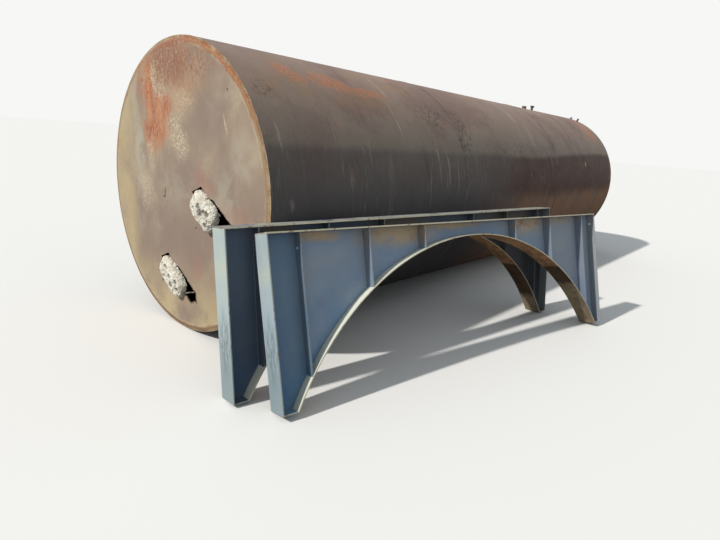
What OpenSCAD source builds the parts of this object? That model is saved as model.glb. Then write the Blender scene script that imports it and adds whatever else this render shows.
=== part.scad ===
// Horizontal steel tank lying on the ground, with its pair of plate saddles
// standing upside down and leaning against one side of it.
// Millimetres, +Z up. The long axis of the tank runs along X and the floor is z = 0.
// The origin is the middle of the footprint of the whole group, on the floor.

/* [Tank shell] */
// Outside diameter of the shell
tank_diameter = 2438; // [2200:2:2700]
// Length over both flat heads
tank_length = 8050; // [7200:10:9000]
// Thickness of the shell plate
shell_thickness = 8; // [6:0.5:12]

/* [Heads] */
// Thickness of the flat heads
head_thickness = 10; // [8:0.5:12]
// Outside radius of the knuckle that turns the head into its flange
knuckle_radius = 36; // [32:1:45]
// Length of the straight flange that slides into the shell
flange_length = 25; // [20:1:40]
// Distance of each end of the shell behind the face of its head
edge_setback = 10; // [6:1:12]

/* [Welds] */
// Root gap between two plates that are butt welded
weld_gap = 4; // [3:0.5:6]
// Width of the weld cap
weld_width = 22; // [16:1:30]
// Height of the weld cap over the plate
weld_crown = 3; // [2:0.5:4]
// Height of the lengthwise seams on the hidden side, in degrees above the level
seam_rise = 24; // [20:1:30]
// Stagger of each lengthwise seam from the next, in degrees
seam_stagger = 30; // [25:1:32]

/* [Cut slots in the left head] */
// Length of each slanting slot along its lower long edge
slot_length = 606; // [580:2:620]
// Width of each slot, square to its long edges
slot_width = 150; // [140:1:156]
// Slant of the upper end of a slot
slot_skew = 94; // [80:1:105]
// Length of the narrow part at the upper end, along the lower edge
slot_narrow_length = 256; // [240:2:270]
// Step by which the narrow part is narrower than the rest
slot_narrow_step = 30; // [22:1:36]
// Reach of the torn tip past the lower end of a slot
slot_tip_reach = 68; // [50:1:75]
// Slope of the long edges below the level
slot_slant = 32; // [29:0.5:35]
// Centre of the upper slot, sideways from the middle of the head
upper_slot_side = 487; // [475:1:500]
// Centre of the upper slot, above the middle of the head
upper_slot_rise = -72; // [-90:1:-60]
// Centre of the lower slot, sideways from the middle of the head
lower_slot_side = -63; // [-75:1:-50]
// Centre of the lower slot, above the middle of the head
lower_slot_rise = -729; // [-745:1:-715]

/* [Slot plugs] */
// Length of the upper plug
upper_plug_length = 380; // [350:2:400]
// Girth of the upper plug
upper_plug_width = 236; // [224:1:244]
// Length of the lower plug
lower_plug_length = 414; // [390:2:440]
// Girth of the lower plug
lower_plug_width = 222; // [210:1:230]
// Slide of the upper plug along its slot, from the middle
upper_plug_slide = -50; // [-60:1:-40]
// Slide of the lower plug along its slot, from the middle
lower_plug_slide = -11; // [-20:1:0]
// Sag of the upper plug below the middle line of its slot
upper_plug_sag = 66; // [60:1:72]
// Sag of the lower plug below the middle line of its slot
lower_plug_sag = 62; // [56:1:68]
// How far the plugs bulge out of the head
plug_bulge = 64; // [55:1:72]
// Depth of plug behind the outer face of the head
plug_depth = 40; // [25:1:60]
// Clearance between the neck of a plug and the edges of its slot
plug_clearance = 0.3; // [0.2:0.1:1]

/* [Top fittings] */
// Angle by which the row of fittings is rolled from the top toward the saddles
row_roll = 5; // [3:0.5:8]
// Distance of the filling socket from the right head
socket_setback = 1800; // [1760:5:1840]
// Outside diameter of the filling socket
socket_diameter = 72; // [66:0.5:80]
// Inside diameter of the filling socket
socket_bore = 52.5; // [48:0.5:56]
// Height of the filling socket over the shell
socket_height = 42; // [35:1:55]
// Distance of the vent pipe from the right head
vent_setback = 1485; // [1445:5:1525]
// Outside diameter of the vent pipe
vent_diameter = 42.4; // [38:0.2:48]
// Height of the vent pipe over the shell
vent_height = 62; // [50:1:80]
// Diameter of the vent cap
vent_cap_diameter = 76; // [68:0.5:84]
// Height of the rim of the vent cap
vent_cap_height = 26; // [22:0.5:32]
// Distance of the two small stubs from the right head
stub_setback = 170; // [150:5:200]
// Outside diameter of the small stubs
stub_diameter = 33.7; // [30:0.1:38]
// Inside diameter of the small stubs
stub_bore = 24.3; // [20:0.1:26]
// Height of the short stub over the shell
short_stub_height = 34; // [28:1:42]
// Height of the tall stub over the shell
tall_stub_height = 56; // [48:1:66]
// Roll of the short stub from the top toward the saddles
short_stub_roll = 16; // [14:0.5:17]
// Roll of the tall stub from the top toward the saddles
tall_stub_roll = 22; // [21:0.5:24]
// Wall of the vent pipe
vent_wall = 3.6; // [3:0.1:5]
// Step in the wall at the foot of the bore of each fitting
bore_step = 2; // [1:0.5:3]
// Height of that step over the shell
seat_rise = 3; // [2:0.5:5]

/* [Saddles] */
// Length of each saddle
saddle_length = 3830; // [3730:10:3930]
// Height of each saddle from its tips to its base plate
saddle_height = 1165; // [1125:5:1205]
// Width of the base plate, the arch plate and the end plates
saddle_width = 176; // [165:1:188]
// Depth of the saddle left over the crown of its arch
crown_depth = 123; // [105:1:140]
// Width of the flat foot at each tip of the arch
tip_width = 114; // [102:1:125]
// Thickness of the base plate
base_plate_thickness = 10; // [8:0.5:14]
// Thickness of the web, the arch plate, the end plates and the stiffeners
plate_thickness = 8; // [6:0.5:10]
// Distance of the first stiffener from each end
stiffener_place_1 = 241; // [225:1:255]
// Distance of the second stiffener from each end
stiffener_place_2 = 806; // [785:1:825]
// Distance of the third stiffener from each end
stiffener_place_3 = 1348; // [1325:1:1370]
// Step of the stiffener edges back from the edge of the base plate
stiffener_inset = 6; // [4:0.5:8]
// Distance of the anchor holes from each end of the base plate
anchor_place = 120; // [90:1:150]
// Distance of the anchor holes from the middle of the web
anchor_offset = 46; // [40:0.5:52]
// Diameter of the anchor holes
anchor_bore = 26; // [22:0.5:30]

/* [How the saddles lean] */
// Lean of the inner saddle toward the tank
inner_lean = 7.5; // [6.5:0.1:9]
// Swing of the inner saddle away from the line of the tank
inner_swing = 8.6; // [7.5:0.1:10]
// Reach of the inner saddle past the left head, beyond the point where it touches
inner_reach = 424; // [400:1:460]
// Lean of the outer saddle toward the inner saddle
outer_lean = 15.3; // [14.5:0.1:16.5]
// Further swing of the outer saddle from the line of the inner saddle
outer_swing = 3.5; // [2.8:0.1:4.2]
// Reach of the outer saddle past the stiffener that it touches
outer_reach = 30; // [24:1:45]
// Gap left where one body leans on the next
lean_clearance = 0.3; // [0.2:0.1:0.5]

/* [Hidden] */
$fn = 180;
course_count = 3;
tank_radius = tank_diameter / 2;
axis_height = tank_radius + weld_crown;
inner_radius = tank_radius - shell_thickness;
head_radius = inner_radius;
shell_end = tank_length - edge_setback;
course_span = tank_length / course_count;
middle_gap = weld_gap / 2;
half_slot = slot_width / 2;
slot_start = slot_length * 0.48;

// The head welds lie on the knuckle from the first of these turns, in degrees, to the last
knuckle_turns = [33, 42, 51, 60];
knuckle_reach = knuckle_radius / cos(4.5);

// The arch circle has its centre below the floor line of the upside-down saddle
arch_half = saddle_length / 2 - tip_width;
arch_rise = saddle_height - crown_depth;
arch_radius = (arch_half * arch_half + arch_rise * arch_rise) / (2 * arch_rise);
arch_depth = arch_radius - arch_rise;
arch_outer = arch_radius + plate_thickness;
web_top = saddle_height - base_plate_thickness;
web_middle = -saddle_width / 2;
web_face = (saddle_width - plate_thickness) / 2;
stiffener_places = [
    stiffener_place_1,
    stiffener_place_2,
    stiffener_place_3,
    saddle_length - stiffener_place_3,
    saddle_length - stiffener_place_2,
    saddle_length - stiffener_place_1
];

// The top edge of the inner saddle touches the left end of the shell
inner_edge_rise = saddle_height * cos(inner_lean);
inner_edge_run = saddle_height * sin(inner_lean);
touch_drop = axis_height - inner_edge_rise;
touch_half = sqrt(tank_radius * tank_radius - touch_drop * touch_drop);
inner_out = lean_clearance + inner_edge_run;
inner_x = edge_setback - inner_out * sin(inner_swing) - inner_reach * cos(inner_swing);
inner_y = -touch_half - inner_out * cos(inner_swing) + inner_reach * sin(inner_swing);

// The top edge of the outer saddle touches the first stiffener of the inner one
outer_edge_rise = saddle_height * cos(outer_lean);
outer_edge_run = saddle_height * sin(outer_lean);
stiffener_front = saddle_width - stiffener_inset;
touch_x = stiffener_place_1 - plate_thickness / 2;
touch_y = outer_edge_rise * tan(inner_lean) - stiffener_front / cos(inner_lean) - lean_clearance;
outer_x = touch_x - outer_reach * cos(outer_swing) - outer_edge_run * sin(outer_swing);
outer_y = touch_y + outer_reach * sin(outer_swing) - outer_edge_run * cos(outer_swing);

// Footprint of the whole group, measured from the middle of the left head
inner_front = saddle_width * cos(inner_lean);
footprint_left = inner_x - inner_front * sin(inner_swing);
outer_turn = inner_swing + outer_swing;
outer_front = saddle_width * cos(outer_lean);
outer_foot_y = inner_y - outer_x * sin(inner_swing) + outer_y * cos(inner_swing);
footprint_near = outer_foot_y - saddle_length * sin(outer_turn) - outer_front * cos(outer_turn);
centre_x = (footprint_left + tank_length) / 2;
centre_y = (footprint_near + tank_radius) / 2;

tank_paint = [0.43, 0.38, 0.34];
head_paint = [0.60, 0.55, 0.48];
weld_steel = [0.40, 0.34, 0.30];
plug_crust = [0.90, 0.88, 0.80];
dark_steel = [0.24, 0.25, 0.27];
saddle_paint = [0.34, 0.41, 0.49];
saddle_edge = [0.62, 0.66, 0.68];

// Frames

// Moves a thing drawn from the middle of the left head's foot into the group's frame
module group() {
    translate([-centre_x, -centre_y, 0])
        children();
}

// Frame of the tank axis: local Z runs along the tank from the left head
module along_tank() {
    group()
        translate([0, 0, axis_height])
            rotate([0, 90, 0])
                children();
}

// Frame of the left head: local X is sideways, local Y is up, local Z points out of the tank
module on_left_head() {
    group()
        translate([0, 0, axis_height])
            rotate([90, 0, -90])
                children();
}

// Frame of a fitting set back from the right head: local Z points straight out of the shell
module on_shell(setback, roll) {
    group()
        translate([tank_length - setback, 0, axis_height])
            rotate([roll, 0, 0])
                translate([0, 0, tank_radius])
                    children();
}

// Frame of the inner saddle: the back of its feet is y = 0 and its tips are z = 0
module stand_inner() {
    group()
        translate([inner_x, inner_y, 0])
            rotate([0, 0, -inner_swing])
                rotate([-inner_lean, 0, 0])
                    children();
}

// Frame of the outer saddle, set out from the foot of the inner one
module stand_outer() {
    group()
        translate([inner_x, inner_y, 0])
            rotate([0, 0, -inner_swing])
                translate([outer_x, outer_y, 0])
                    rotate([0, 0, -outer_swing])
                        rotate([-outer_lean, 0, 0])
                            children();
}

// Tank shell

// Rolled tube between two places along the tank
module shell_tube(from, to) {
    translate([0, 0, from])
        difference() {
            cylinder(r = tank_radius, h = to - from);
            translate([0, 0, -1])
                cylinder(r = inner_radius, h = to - from + 2);
        }
}

// Hole in the shell under a fitting of the given bore
module pipe_hole(setback, roll, bore) {
    on_shell(setback, roll)
        translate([0, 0, -4 * shell_thickness])
            cylinder(d = bore - 2 * bore_step, h = 8 * shell_thickness);
}

module shell_course_1() {
    color(tank_paint)
        along_tank()
            shell_tube(edge_setback, course_span - middle_gap);
}

module shell_course_2() {
    color(tank_paint)
        along_tank()
            shell_tube(course_span + middle_gap, 2 * course_span - middle_gap);
}

module shell_course_3() {
    color(tank_paint)
        difference() {
            along_tank()
                shell_tube(2 * course_span + middle_gap, shell_end);
            pipe_hole(socket_setback, row_roll, socket_bore);
            pipe_hole(vent_setback, row_roll, vent_diameter - 2 * vent_wall);
            pipe_hole(stub_setback, short_stub_roll, stub_bore);
            pipe_hole(stub_setback, tall_stub_roll, stub_bore);
        }
}

// Butt weld between two courses: it fills the gap and stands proud as a low cap
module ring_weld(place) {
    translate([0, 0, place])
        rotate_extrude()
            polygon([
                [inner_radius, -middle_gap],
                [tank_radius, -middle_gap],
                [tank_radius, -weld_width / 2],
                [tank_radius + weld_crown, -weld_width / 4],
                [tank_radius + weld_crown, weld_width / 4],
                [tank_radius, weld_width / 2],
                [tank_radius, middle_gap],
                [inner_radius, middle_gap]
            ]);
}

module girth_weld_1() {
    color(weld_steel)
        along_tank()
            ring_weld(course_span);
}

module girth_weld_2() {
    color(weld_steel)
        along_tank()
            ring_weld(2 * course_span);
}

// Cap of the lengthwise weld that closes one rolled course, on the hidden side
module seam_weld(from, to, rise) {
    half_turn = weld_width / 2;
    rotate([0, 0, rise])
        intersection() {
            translate([0, 0, from])
                difference() {
                    cylinder(r = tank_radius + weld_crown, h = to - from);
                    translate([0, 0, -1])
                        cylinder(r = tank_radius, h = to - from + 2);
                }
            translate([-half_turn, 0, from - 1])
                cube([weld_width, 2 * tank_radius, to - from + 2]);
        }
}

module seam_weld_1() {
    color(weld_steel)
        along_tank()
            seam_weld(edge_setback + weld_width, course_span - weld_width, seam_rise);
}

module seam_weld_2() {
    color(weld_steel)
        along_tank()
            seam_weld(course_span + weld_width, 2 * course_span - weld_width, seam_rise - seam_stagger);
}

module seam_weld_3() {
    color(weld_steel)
        along_tank()
            seam_weld(2 * course_span + weld_width, shell_end - weld_width, seam_rise);
}

// Point of the weld beside the knuckle, at a turn from the flange toward the face
function knuckle_point(turn) = [
    head_radius - knuckle_radius + knuckle_reach * cos(turn),
    knuckle_radius - knuckle_reach * sin(turn)
];

// Fillet weld in the groove between the end of the shell and the knuckle of a head
module head_weld() {
    root = knuckle_point(knuckle_turns[0]);
    rotate_extrude()
        polygon([
            [inner_radius + shell_thickness / 2, edge_setback],
            [inner_radius, edge_setback],
            [inner_radius, root[1]],
            for (turn = knuckle_turns) knuckle_point(turn)
        ]);
}

module left_head_weld() {
    color(weld_steel)
        along_tank()
            head_weld();
}

module right_head_weld() {
    color(weld_steel)
        along_tank()
            translate([0, 0, tank_length])
                rotate([180, 0, 0])
                    head_weld();
}

// Heads

// Half section of a flat head: plate, knuckle and the straight flange inside the shell
module head_section() {
    turn_radius = knuckle_radius - head_thickness;
    square([head_radius - knuckle_radius, head_thickness]);
    translate([head_radius - knuckle_radius, knuckle_radius])
        intersection() {
            difference() {
                circle(r = knuckle_radius);
                circle(r = turn_radius);
            }
            translate([0, -knuckle_radius])
                square([knuckle_radius, knuckle_radius]);
        }
    translate([head_radius - head_thickness, knuckle_radius])
        square([head_thickness, flange_length]);
}

// Outline of a slot: narrow at its slanting upper end, stepped wider, and torn at its lower end
module slot_outline() {
    narrow_top = half_slot - slot_narrow_step;
    step_place = slot_narrow_length - slot_start;
    low_end = slot_length - slot_start;
    polygon([
        [-slot_start, -half_slot],
        [low_end, -half_slot],
        [low_end + slot_tip_reach * 0.42, -half_slot * 0.24],
        [low_end + slot_tip_reach, 0],
        [low_end + slot_tip_reach * 0.16, half_slot * 0.96],
        [step_place + slot_narrow_step * 0.8, half_slot],
        [step_place, narrow_top + slot_narrow_step * 0.6],
        [step_place - slot_narrow_step, narrow_top],
        [slot_skew * 1.5 - slot_start, narrow_top],
        [slot_skew - slot_start, narrow_top + slot_narrow_step * 0.5]
    ]);
}

// Places a thing at a slot, turned to the slope of the slot
module at_slot(side, rise) {
    on_left_head()
        translate([side, rise, 0])
            rotate([0, 0, -slot_slant])
                children();
}

module slot_cut(side, rise) {
    at_slot(side, rise)
        translate([0, 0, -2 * head_thickness])
            linear_extrude(height = 4 * head_thickness)
                slot_outline();
}

module left_head() {
    color(head_paint)
        difference() {
            along_tank()
                rotate_extrude()
                    head_section();
            slot_cut(upper_slot_side, upper_slot_rise);
            slot_cut(lower_slot_side, lower_slot_rise);
        }
}

module right_head() {
    color(head_paint)
        group()
            translate([tank_length, 0, axis_height])
                rotate([0, -90, 0])
                    rotate_extrude()
                        head_section();
}

// Slot plugs

// Crusted plug: a lumpy spindle that bulges out of the head, on a neck through the slot
module slot_plug(length, width, slide, sag) {
    radius = width / 2;
    lift = plug_bulge - radius;
    neck_low = plug_clearance - half_slot;
    neck_high = radius * 0.7 - sag;
    intersection() {
        translate([slide - length / 2, -sag, lift])
            rotate([0, 90, 0])
                rotate_extrude()
                    polygon([
                        [0, 0],
                        [radius * 0.45, length * 0.01],
                        [radius * 0.80, length * 0.07],
                        [radius * 0.97, length * 0.17],
                        [radius * 0.93, length * 0.33],
                        [radius, length * 0.48],
                        [radius * 0.94, length * 0.62],
                        [radius * 0.99, length * 0.76],
                        [radius * 0.86, length * 0.90],
                        [radius * 0.50, length * 0.985],
                        [0, length]
                    ]);
        translate([-length, -width * 2, 0])
            cube([2 * length, 4 * width, 2 * plug_bulge]);
    }
    translate([slide - length * 0.35, neck_low, -plug_depth])
        cube([length * 0.7, neck_high - neck_low, plug_depth]);
}

module upper_slot_plug() {
    color(plug_crust)
        at_slot(upper_slot_side, upper_slot_rise)
            slot_plug(upper_plug_length, upper_plug_width, upper_plug_slide, upper_plug_sag);
}

module lower_slot_plug() {
    color(plug_crust)
        at_slot(lower_slot_side, lower_slot_rise)
            slot_plug(lower_plug_length, lower_plug_width, lower_plug_slide, lower_plug_sag);
}

// Top fittings

// Plain pipe with its foot cut to sit on the round shell and a small step low in its bore
module stub_pipe(outside, inside, height) {
    difference() {
        translate([0, 0, -shell_thickness])
            cylinder(d = outside, h = shell_thickness + height);
        translate([0, 0, seat_rise])
            cylinder(d = inside, h = height);
        translate([0, 0, -2 * shell_thickness])
            cylinder(d = inside - 2 * bore_step, h = 3 * shell_thickness + height);
        translate([-outside, 0, -tank_radius])
            rotate([0, 90, 0])
                cylinder(r = tank_radius, h = 2 * outside);
    }
}

module filling_socket() {
    color(dark_steel)
        on_shell(socket_setback, row_roll)
            stub_pipe(socket_diameter, socket_bore, socket_height);
}

module vent_pipe() {
    color(dark_steel)
        on_shell(vent_setback, row_roll)
            stub_pipe(vent_diameter, vent_diameter - 2 * vent_wall, vent_height);
}

// Mushroom cap that sits on the end of the vent pipe
module vent_cap() {
    rim = vent_cap_diameter / 2;
    color(dark_steel)
        on_shell(vent_setback, row_roll)
            translate([0, 0, vent_height])
                rotate_extrude()
                    polygon([
                        [0, 0],
                        [vent_diameter / 2, 0],
                        [rim - 4, -vent_cap_height * 0.35],
                        [rim, -vent_cap_height * 0.35],
                        [rim, vent_cap_height * 0.15],
                        [rim * 0.75, vent_cap_height * 0.50],
                        [rim * 0.35, vent_cap_height * 0.65],
                        [0, vent_cap_height * 0.65]
                    ]);
}

module short_stub() {
    color(dark_steel)
        on_shell(stub_setback, short_stub_roll)
            stub_pipe(stub_diameter, stub_bore, short_stub_height);
}

module tall_stub() {
    color(dark_steel)
        on_shell(stub_setback, tall_stub_roll)
            stub_pipe(stub_diameter, stub_bore, tall_stub_height);
}

// Saddles

// Solid drum of the arch circle, used to cut the plates that meet it
module arch_drum(radius) {
    translate([saddle_length / 2, saddle_width, -arch_depth])
        rotate([90, 0, 0])
            cylinder(r = radius, h = 3 * saddle_width, $fn = 360);
}

module saddle_web() {
    inner_length = saddle_length - 2 * plate_thickness;
    difference() {
        translate([plate_thickness, -web_face - plate_thickness, plate_thickness])
            cube([inner_length, plate_thickness, web_top - plate_thickness]);
        arch_drum(arch_outer);
    }
}

// Base plate along the top edge, with a pair of anchor holes at each end
module saddle_base_plate() {
    difference() {
        translate([0, -saddle_width, web_top])
            cube([saddle_length, saddle_width, base_plate_thickness]);
        for (place = [anchor_place, saddle_length - anchor_place])
            for (side = [-anchor_offset, anchor_offset])
                translate([place, web_middle + side, web_top - 1])
                    cylinder(d = anchor_bore, h = base_plate_thickness + 2);
    }
}

// Rolled plate that lines the arch, cut level where it meets the floor
module saddle_arch_plate() {
    intersection() {
        difference() {
            translate([saddle_length / 2, 0, -arch_depth])
                rotate([90, 0, 0])
                    cylinder(r = arch_outer, h = saddle_width, $fn = 360);
            arch_drum(arch_radius);
        }
        translate([0, -2 * saddle_width, 0])
            cube([saddle_length, 3 * saddle_width, saddle_height]);
    }
}

module saddle_end_plate(place) {
    translate([place, -saddle_width, 0])
        cube([plate_thickness, saddle_width, web_top]);
}

// Flat plate that closes the tip of the saddle between the end plate and the arch plate
module saddle_foot(start) {
    difference() {
        translate([start, -saddle_width, 0])
            cube([tip_width, saddle_width, plate_thickness]);
        arch_drum(arch_outer);
    }
}

// Row of upright stiffeners on one face of the web
module saddle_stiffeners(face) {
    difference() {
        for (place = stiffener_places)
            translate([place - plate_thickness / 2, face, plate_thickness])
                cube([plate_thickness, web_face - stiffener_inset, web_top - plate_thickness]);
        arch_drum(arch_outer);
    }
}

module inner_saddle_web() {
    color(saddle_paint)
        stand_inner()
            saddle_web();
}

module inner_saddle_base_plate() {
    color(saddle_edge)
        stand_inner()
            saddle_base_plate();
}

module inner_saddle_arch_plate() {
    color(saddle_paint)
        stand_inner()
            saddle_arch_plate();
}

module inner_saddle_left_end_plate() {
    color(saddle_paint)
        stand_inner()
            saddle_end_plate(0);
}

module inner_saddle_right_end_plate() {
    color(saddle_paint)
        stand_inner()
            saddle_end_plate(saddle_length - plate_thickness);
}

module inner_saddle_left_foot() {
    color(saddle_paint)
        stand_inner()
            saddle_foot(plate_thickness);
}

module inner_saddle_right_foot() {
    color(saddle_paint)
        stand_inner()
            saddle_foot(saddle_length - plate_thickness - tip_width);
}

module inner_saddle_front_stiffeners() {
    color(saddle_paint)
        stand_inner()
            saddle_stiffeners(-saddle_width + stiffener_inset);
}

module inner_saddle_rear_stiffeners() {
    color(saddle_paint)
        stand_inner()
            saddle_stiffeners(-web_face);
}

module outer_saddle_web() {
    color(saddle_paint)
        stand_outer()
            saddle_web();
}

module outer_saddle_base_plate() {
    color(saddle_edge)
        stand_outer()
            saddle_base_plate();
}

module outer_saddle_arch_plate() {
    color(saddle_paint)
        stand_outer()
            saddle_arch_plate();
}

module outer_saddle_left_end_plate() {
    color(saddle_paint)
        stand_outer()
            saddle_end_plate(0);
}

module outer_saddle_right_end_plate() {
    color(saddle_paint)
        stand_outer()
            saddle_end_plate(saddle_length - plate_thickness);
}

module outer_saddle_left_foot() {
    color(saddle_paint)
        stand_outer()
            saddle_foot(plate_thickness);
}

module outer_saddle_right_foot() {
    color(saddle_paint)
        stand_outer()
            saddle_foot(saddle_length - plate_thickness - tip_width);
}

module outer_saddle_front_stiffeners() {
    color(saddle_paint)
        stand_outer()
            saddle_stiffeners(-saddle_width + stiffener_inset);
}

module outer_saddle_rear_stiffeners() {
    color(saddle_paint)
        stand_outer()
            saddle_stiffeners(-web_face);
}

// Output

shell_course_1();
shell_course_2();
shell_course_3();
girth_weld_1();
girth_weld_2();
seam_weld_1();
seam_weld_2();
seam_weld_3();
left_head();
left_head_weld();
right_head();
right_head_weld();
upper_slot_plug();
lower_slot_plug();
filling_socket();
vent_pipe();
vent_cap();
short_stub();
tall_stub();
inner_saddle_web();
inner_saddle_base_plate();
inner_saddle_arch_plate();
inner_saddle_left_end_plate();
inner_saddle_right_end_plate();
inner_saddle_left_foot();
inner_saddle_right_foot();
inner_saddle_front_stiffeners();
inner_saddle_rear_stiffeners();
outer_saddle_web();
outer_saddle_base_plate();
outer_saddle_arch_plate();
outer_saddle_left_end_plate();
outer_saddle_right_end_plate();
outer_saddle_left_foot();
outer_saddle_right_foot();
outer_saddle_front_stiffeners();
outer_saddle_rear_stiffeners();
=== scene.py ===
# %% [markdown]
# # A horizontal steel tank with two leaning saddles
#
# The object is a long round tank of rolled plate with flat heads. It lies
# straight on the floor. Beside it stand two plate saddles, upside down: the
# inner one leans on the tank and the outer one leans on the inner one.
#
# The main shapes come from the frame, which is the solid model. This script
# gives them their weathered finishes and adds what a solid model leaves out:
# the crust in the slots, the torn slot edges and the weld beads.

# %% Load the frame
import math

import bmesh
import bpy
from mathutils import Matrix, Vector, noise


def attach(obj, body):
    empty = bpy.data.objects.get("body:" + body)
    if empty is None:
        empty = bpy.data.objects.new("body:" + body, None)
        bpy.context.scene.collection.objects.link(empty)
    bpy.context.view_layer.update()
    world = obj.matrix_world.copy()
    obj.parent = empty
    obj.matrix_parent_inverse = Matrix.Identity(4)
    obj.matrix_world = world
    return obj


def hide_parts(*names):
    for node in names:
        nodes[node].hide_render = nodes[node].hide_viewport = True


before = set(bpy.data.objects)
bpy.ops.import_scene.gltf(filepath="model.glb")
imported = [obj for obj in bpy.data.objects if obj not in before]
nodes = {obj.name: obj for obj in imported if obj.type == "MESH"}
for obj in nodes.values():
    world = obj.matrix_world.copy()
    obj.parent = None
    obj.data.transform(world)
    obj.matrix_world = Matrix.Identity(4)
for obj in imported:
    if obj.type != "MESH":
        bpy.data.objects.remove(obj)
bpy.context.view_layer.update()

print("pieces in the frame:", len(nodes))

# %% [markdown]
# ## Measures that the finishes need
#
# Rust and dust follow the shape: they know where the axis of the tank is, how
# high the saddles are and which way they lean. These values repeat the sizes
# of the solid model, in metres.

# %% Name the main measures
TANK_RADIUS = 1.219
AXIS_Y = 0.703765
AXIS_Z = 1.222
LEFT_FACE = -3.795945
RIGHT_FACE = 4.254055
SHELL_SETBACK = 0.010
SADDLE_LENGTH = 3.83
SADDLE_HEIGHT = 1.165
SADDLE_WIDTH = 0.176
PLATE = 0.008
BASE_PLATE = 0.010
CROWN_DEPTH = 0.123
TIP_WIDTH = 0.114
ARCH_HALF = SADDLE_LENGTH / 2 - TIP_WIDTH
ARCH_RISE = SADDLE_HEIGHT - CROWN_DEPTH
ARCH_RADIUS = (ARCH_HALF**2 + ARCH_RISE**2) / (2 * ARCH_RISE)
ARCH_DEPTH = ARCH_RADIUS - ARCH_RISE
STIFFENERS = [0.241, 0.806, 1.348]
STIFFENERS += [SADDLE_LENGTH - place for place in reversed(STIFFENERS)]

# Each saddle: the back corner of its left foot, its lean and its swing
SADDLES = {
    "inner": (Vector((-4.227961, -0.600641, 0.0)), math.radians(7.5), math.radians(8.6)),
    "outer": (Vector((-4.090965, -0.953935, 0.0)), math.radians(15.3), math.radians(12.1)),
}
print("arch radius:", round(ARCH_RADIUS, 4))

# %% [markdown]
# ## The camera
#
# The camera stands near the left head and looks along the tank, a little
# downwards. It was worked out from the corners of the tank and of the
# saddles, so its place, turn and lens come as numbers.

# %% Set the camera
CAMERA_PLACE = Vector((-5.949845, -3.214235, 1.7803))
CAMERA_HEADING = Vector((0.76025, 0.64963, 0.0))
CAMERA_PITCH = math.radians(15.08)
CAMERA_ROLL = math.radians(4.38)
LENS = 24.733
SENSOR_WIDTH = 36.0
FARTHEST_SEEN = 300.0

ahead = CAMERA_HEADING.normalized() * math.cos(CAMERA_PITCH)
forward = (ahead - Vector((0, 0, math.sin(CAMERA_PITCH)))).normalized()
level = forward.cross(Vector((0, 0, 1))).normalized()
upward = level.cross(forward)
right = level * math.cos(CAMERA_ROLL) + upward * math.sin(CAMERA_ROLL)
top = upward * math.cos(CAMERA_ROLL) - level * math.sin(CAMERA_ROLL)
turned = Matrix((right, top, -forward)).transposed().to_4x4()

camera = bpy.data.objects.new("camera", bpy.data.cameras.new("camera"))
bpy.context.scene.collection.objects.link(camera)
camera.matrix_world = Matrix.Translation(CAMERA_PLACE) @ turned
camera.data.lens = LENS
camera.data.sensor_width = SENSOR_WIDTH
camera.data.clip_end = FARTHEST_SEEN
bpy.context.scene.camera = camera
bpy.context.scene.view_settings.view_transform = "Standard"
print("camera at", tuple(round(v, 3) for v in CAMERA_PLACE))

# %% [markdown]
# ## A small paint kit
#
# Every finish is a node tree. It could be built in the shader editor, but in a
# script a few helpers keep it short and let one idea serve many pieces. Paint
# is named by its screen values, as they are read off a colour picker, while
# the shader wants linear light.


# %% Name a colour
def paint(red, green, blue):
    """A colour from its 0 to 255 screen values, as the shader wants it."""
    def straight(value):
        value /= 255
        return value / 12.92 if value <= 0.04045 else ((value + 0.055) / 1.055) ** 2.4

    return (straight(red), straight(green), straight(blue), 1.0)


print("middle grey for the shader:", round(paint(128, 128, 128)[0], 3))


# %% Sums with nodes
class Sums:
    """A material's node tree, with short names for the sums it needs."""

    def __init__(self, name):
        self.material = bpy.data.materials.new(name)
        self.material.use_nodes = True
        self.tree = self.material.node_tree
        self.here = self.add("ShaderNodeTexCoord").outputs["Object"]

    def add(self, kind, settings=(), inputs=()):
        node = self.tree.nodes.new(kind)
        for key, value in dict(settings).items():
            setattr(node, key, value)
        for key, value in dict(inputs).items():
            if isinstance(value, bpy.types.NodeSocket):
                self.tree.links.new(value, node.inputs[key])
            else:
                node.inputs[key].default_value = value
        return node

    def vector_sum(self, operation, inputs):
        return self.add("ShaderNodeVectorMath", {"operation": operation}, inputs)

    def moved(self, place, turn=(0, 0, 0), size=(1, 1, 1), vector=None):
        """Coordinates in a frame that sits at place, turned and sized."""
        inputs = {"Vector": vector or self.here, "Location": place, "Rotation": turn, "Scale": size}
        return self.add("ShaderNodeMapping", {"vector_type": "TEXTURE"}, inputs).outputs[0]

    def stretched(self, size, vector=None):
        """Coordinates multiplied by size, so that a pattern runs in streaks."""
        return self.vector_sum("MULTIPLY", {0: vector or self.here, 1: size}).outputs[0]

    def length(self, vector):
        return self.vector_sum("LENGTH", {0: vector}).outputs["Value"]

    def split(self, vector=None):
        return self.add("ShaderNodeSeparateXYZ", (), {0: vector or self.here}).outputs

    def sum(self, operation, first, second=0.0, third=0.0):
        inputs = {0: first, 1: second, 2: third}
        return self.add("ShaderNodeMath", {"operation": operation}, inputs).outputs[0]

    def scaled(self, value, factor, start):
        """The value times factor, added to start."""
        return self.sum("MULTIPLY_ADD", value, factor, start)

    def step(self, value, start, end):
        """0 before start, 1 after end and smooth between."""
        inputs = {0: value, 1: start, 2: end, 3: 0.0, 4: 1.0}
        return self.add("ShaderNodeMapRange", {"interpolation_type": "SMOOTHSTEP"}, inputs).outputs[0]

    def times(self, *values):
        result = values[0]
        for value in values[1:]:
            result = self.sum("MULTIPLY", result, value)
        return result

    def most(self, *values):
        result = values[0]
        for value in values[1:]:
            result = self.sum("MAXIMUM", result, value)
        return result


print("sums ready:", [name for name in vars(Sums) if not name.startswith("_")])

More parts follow.
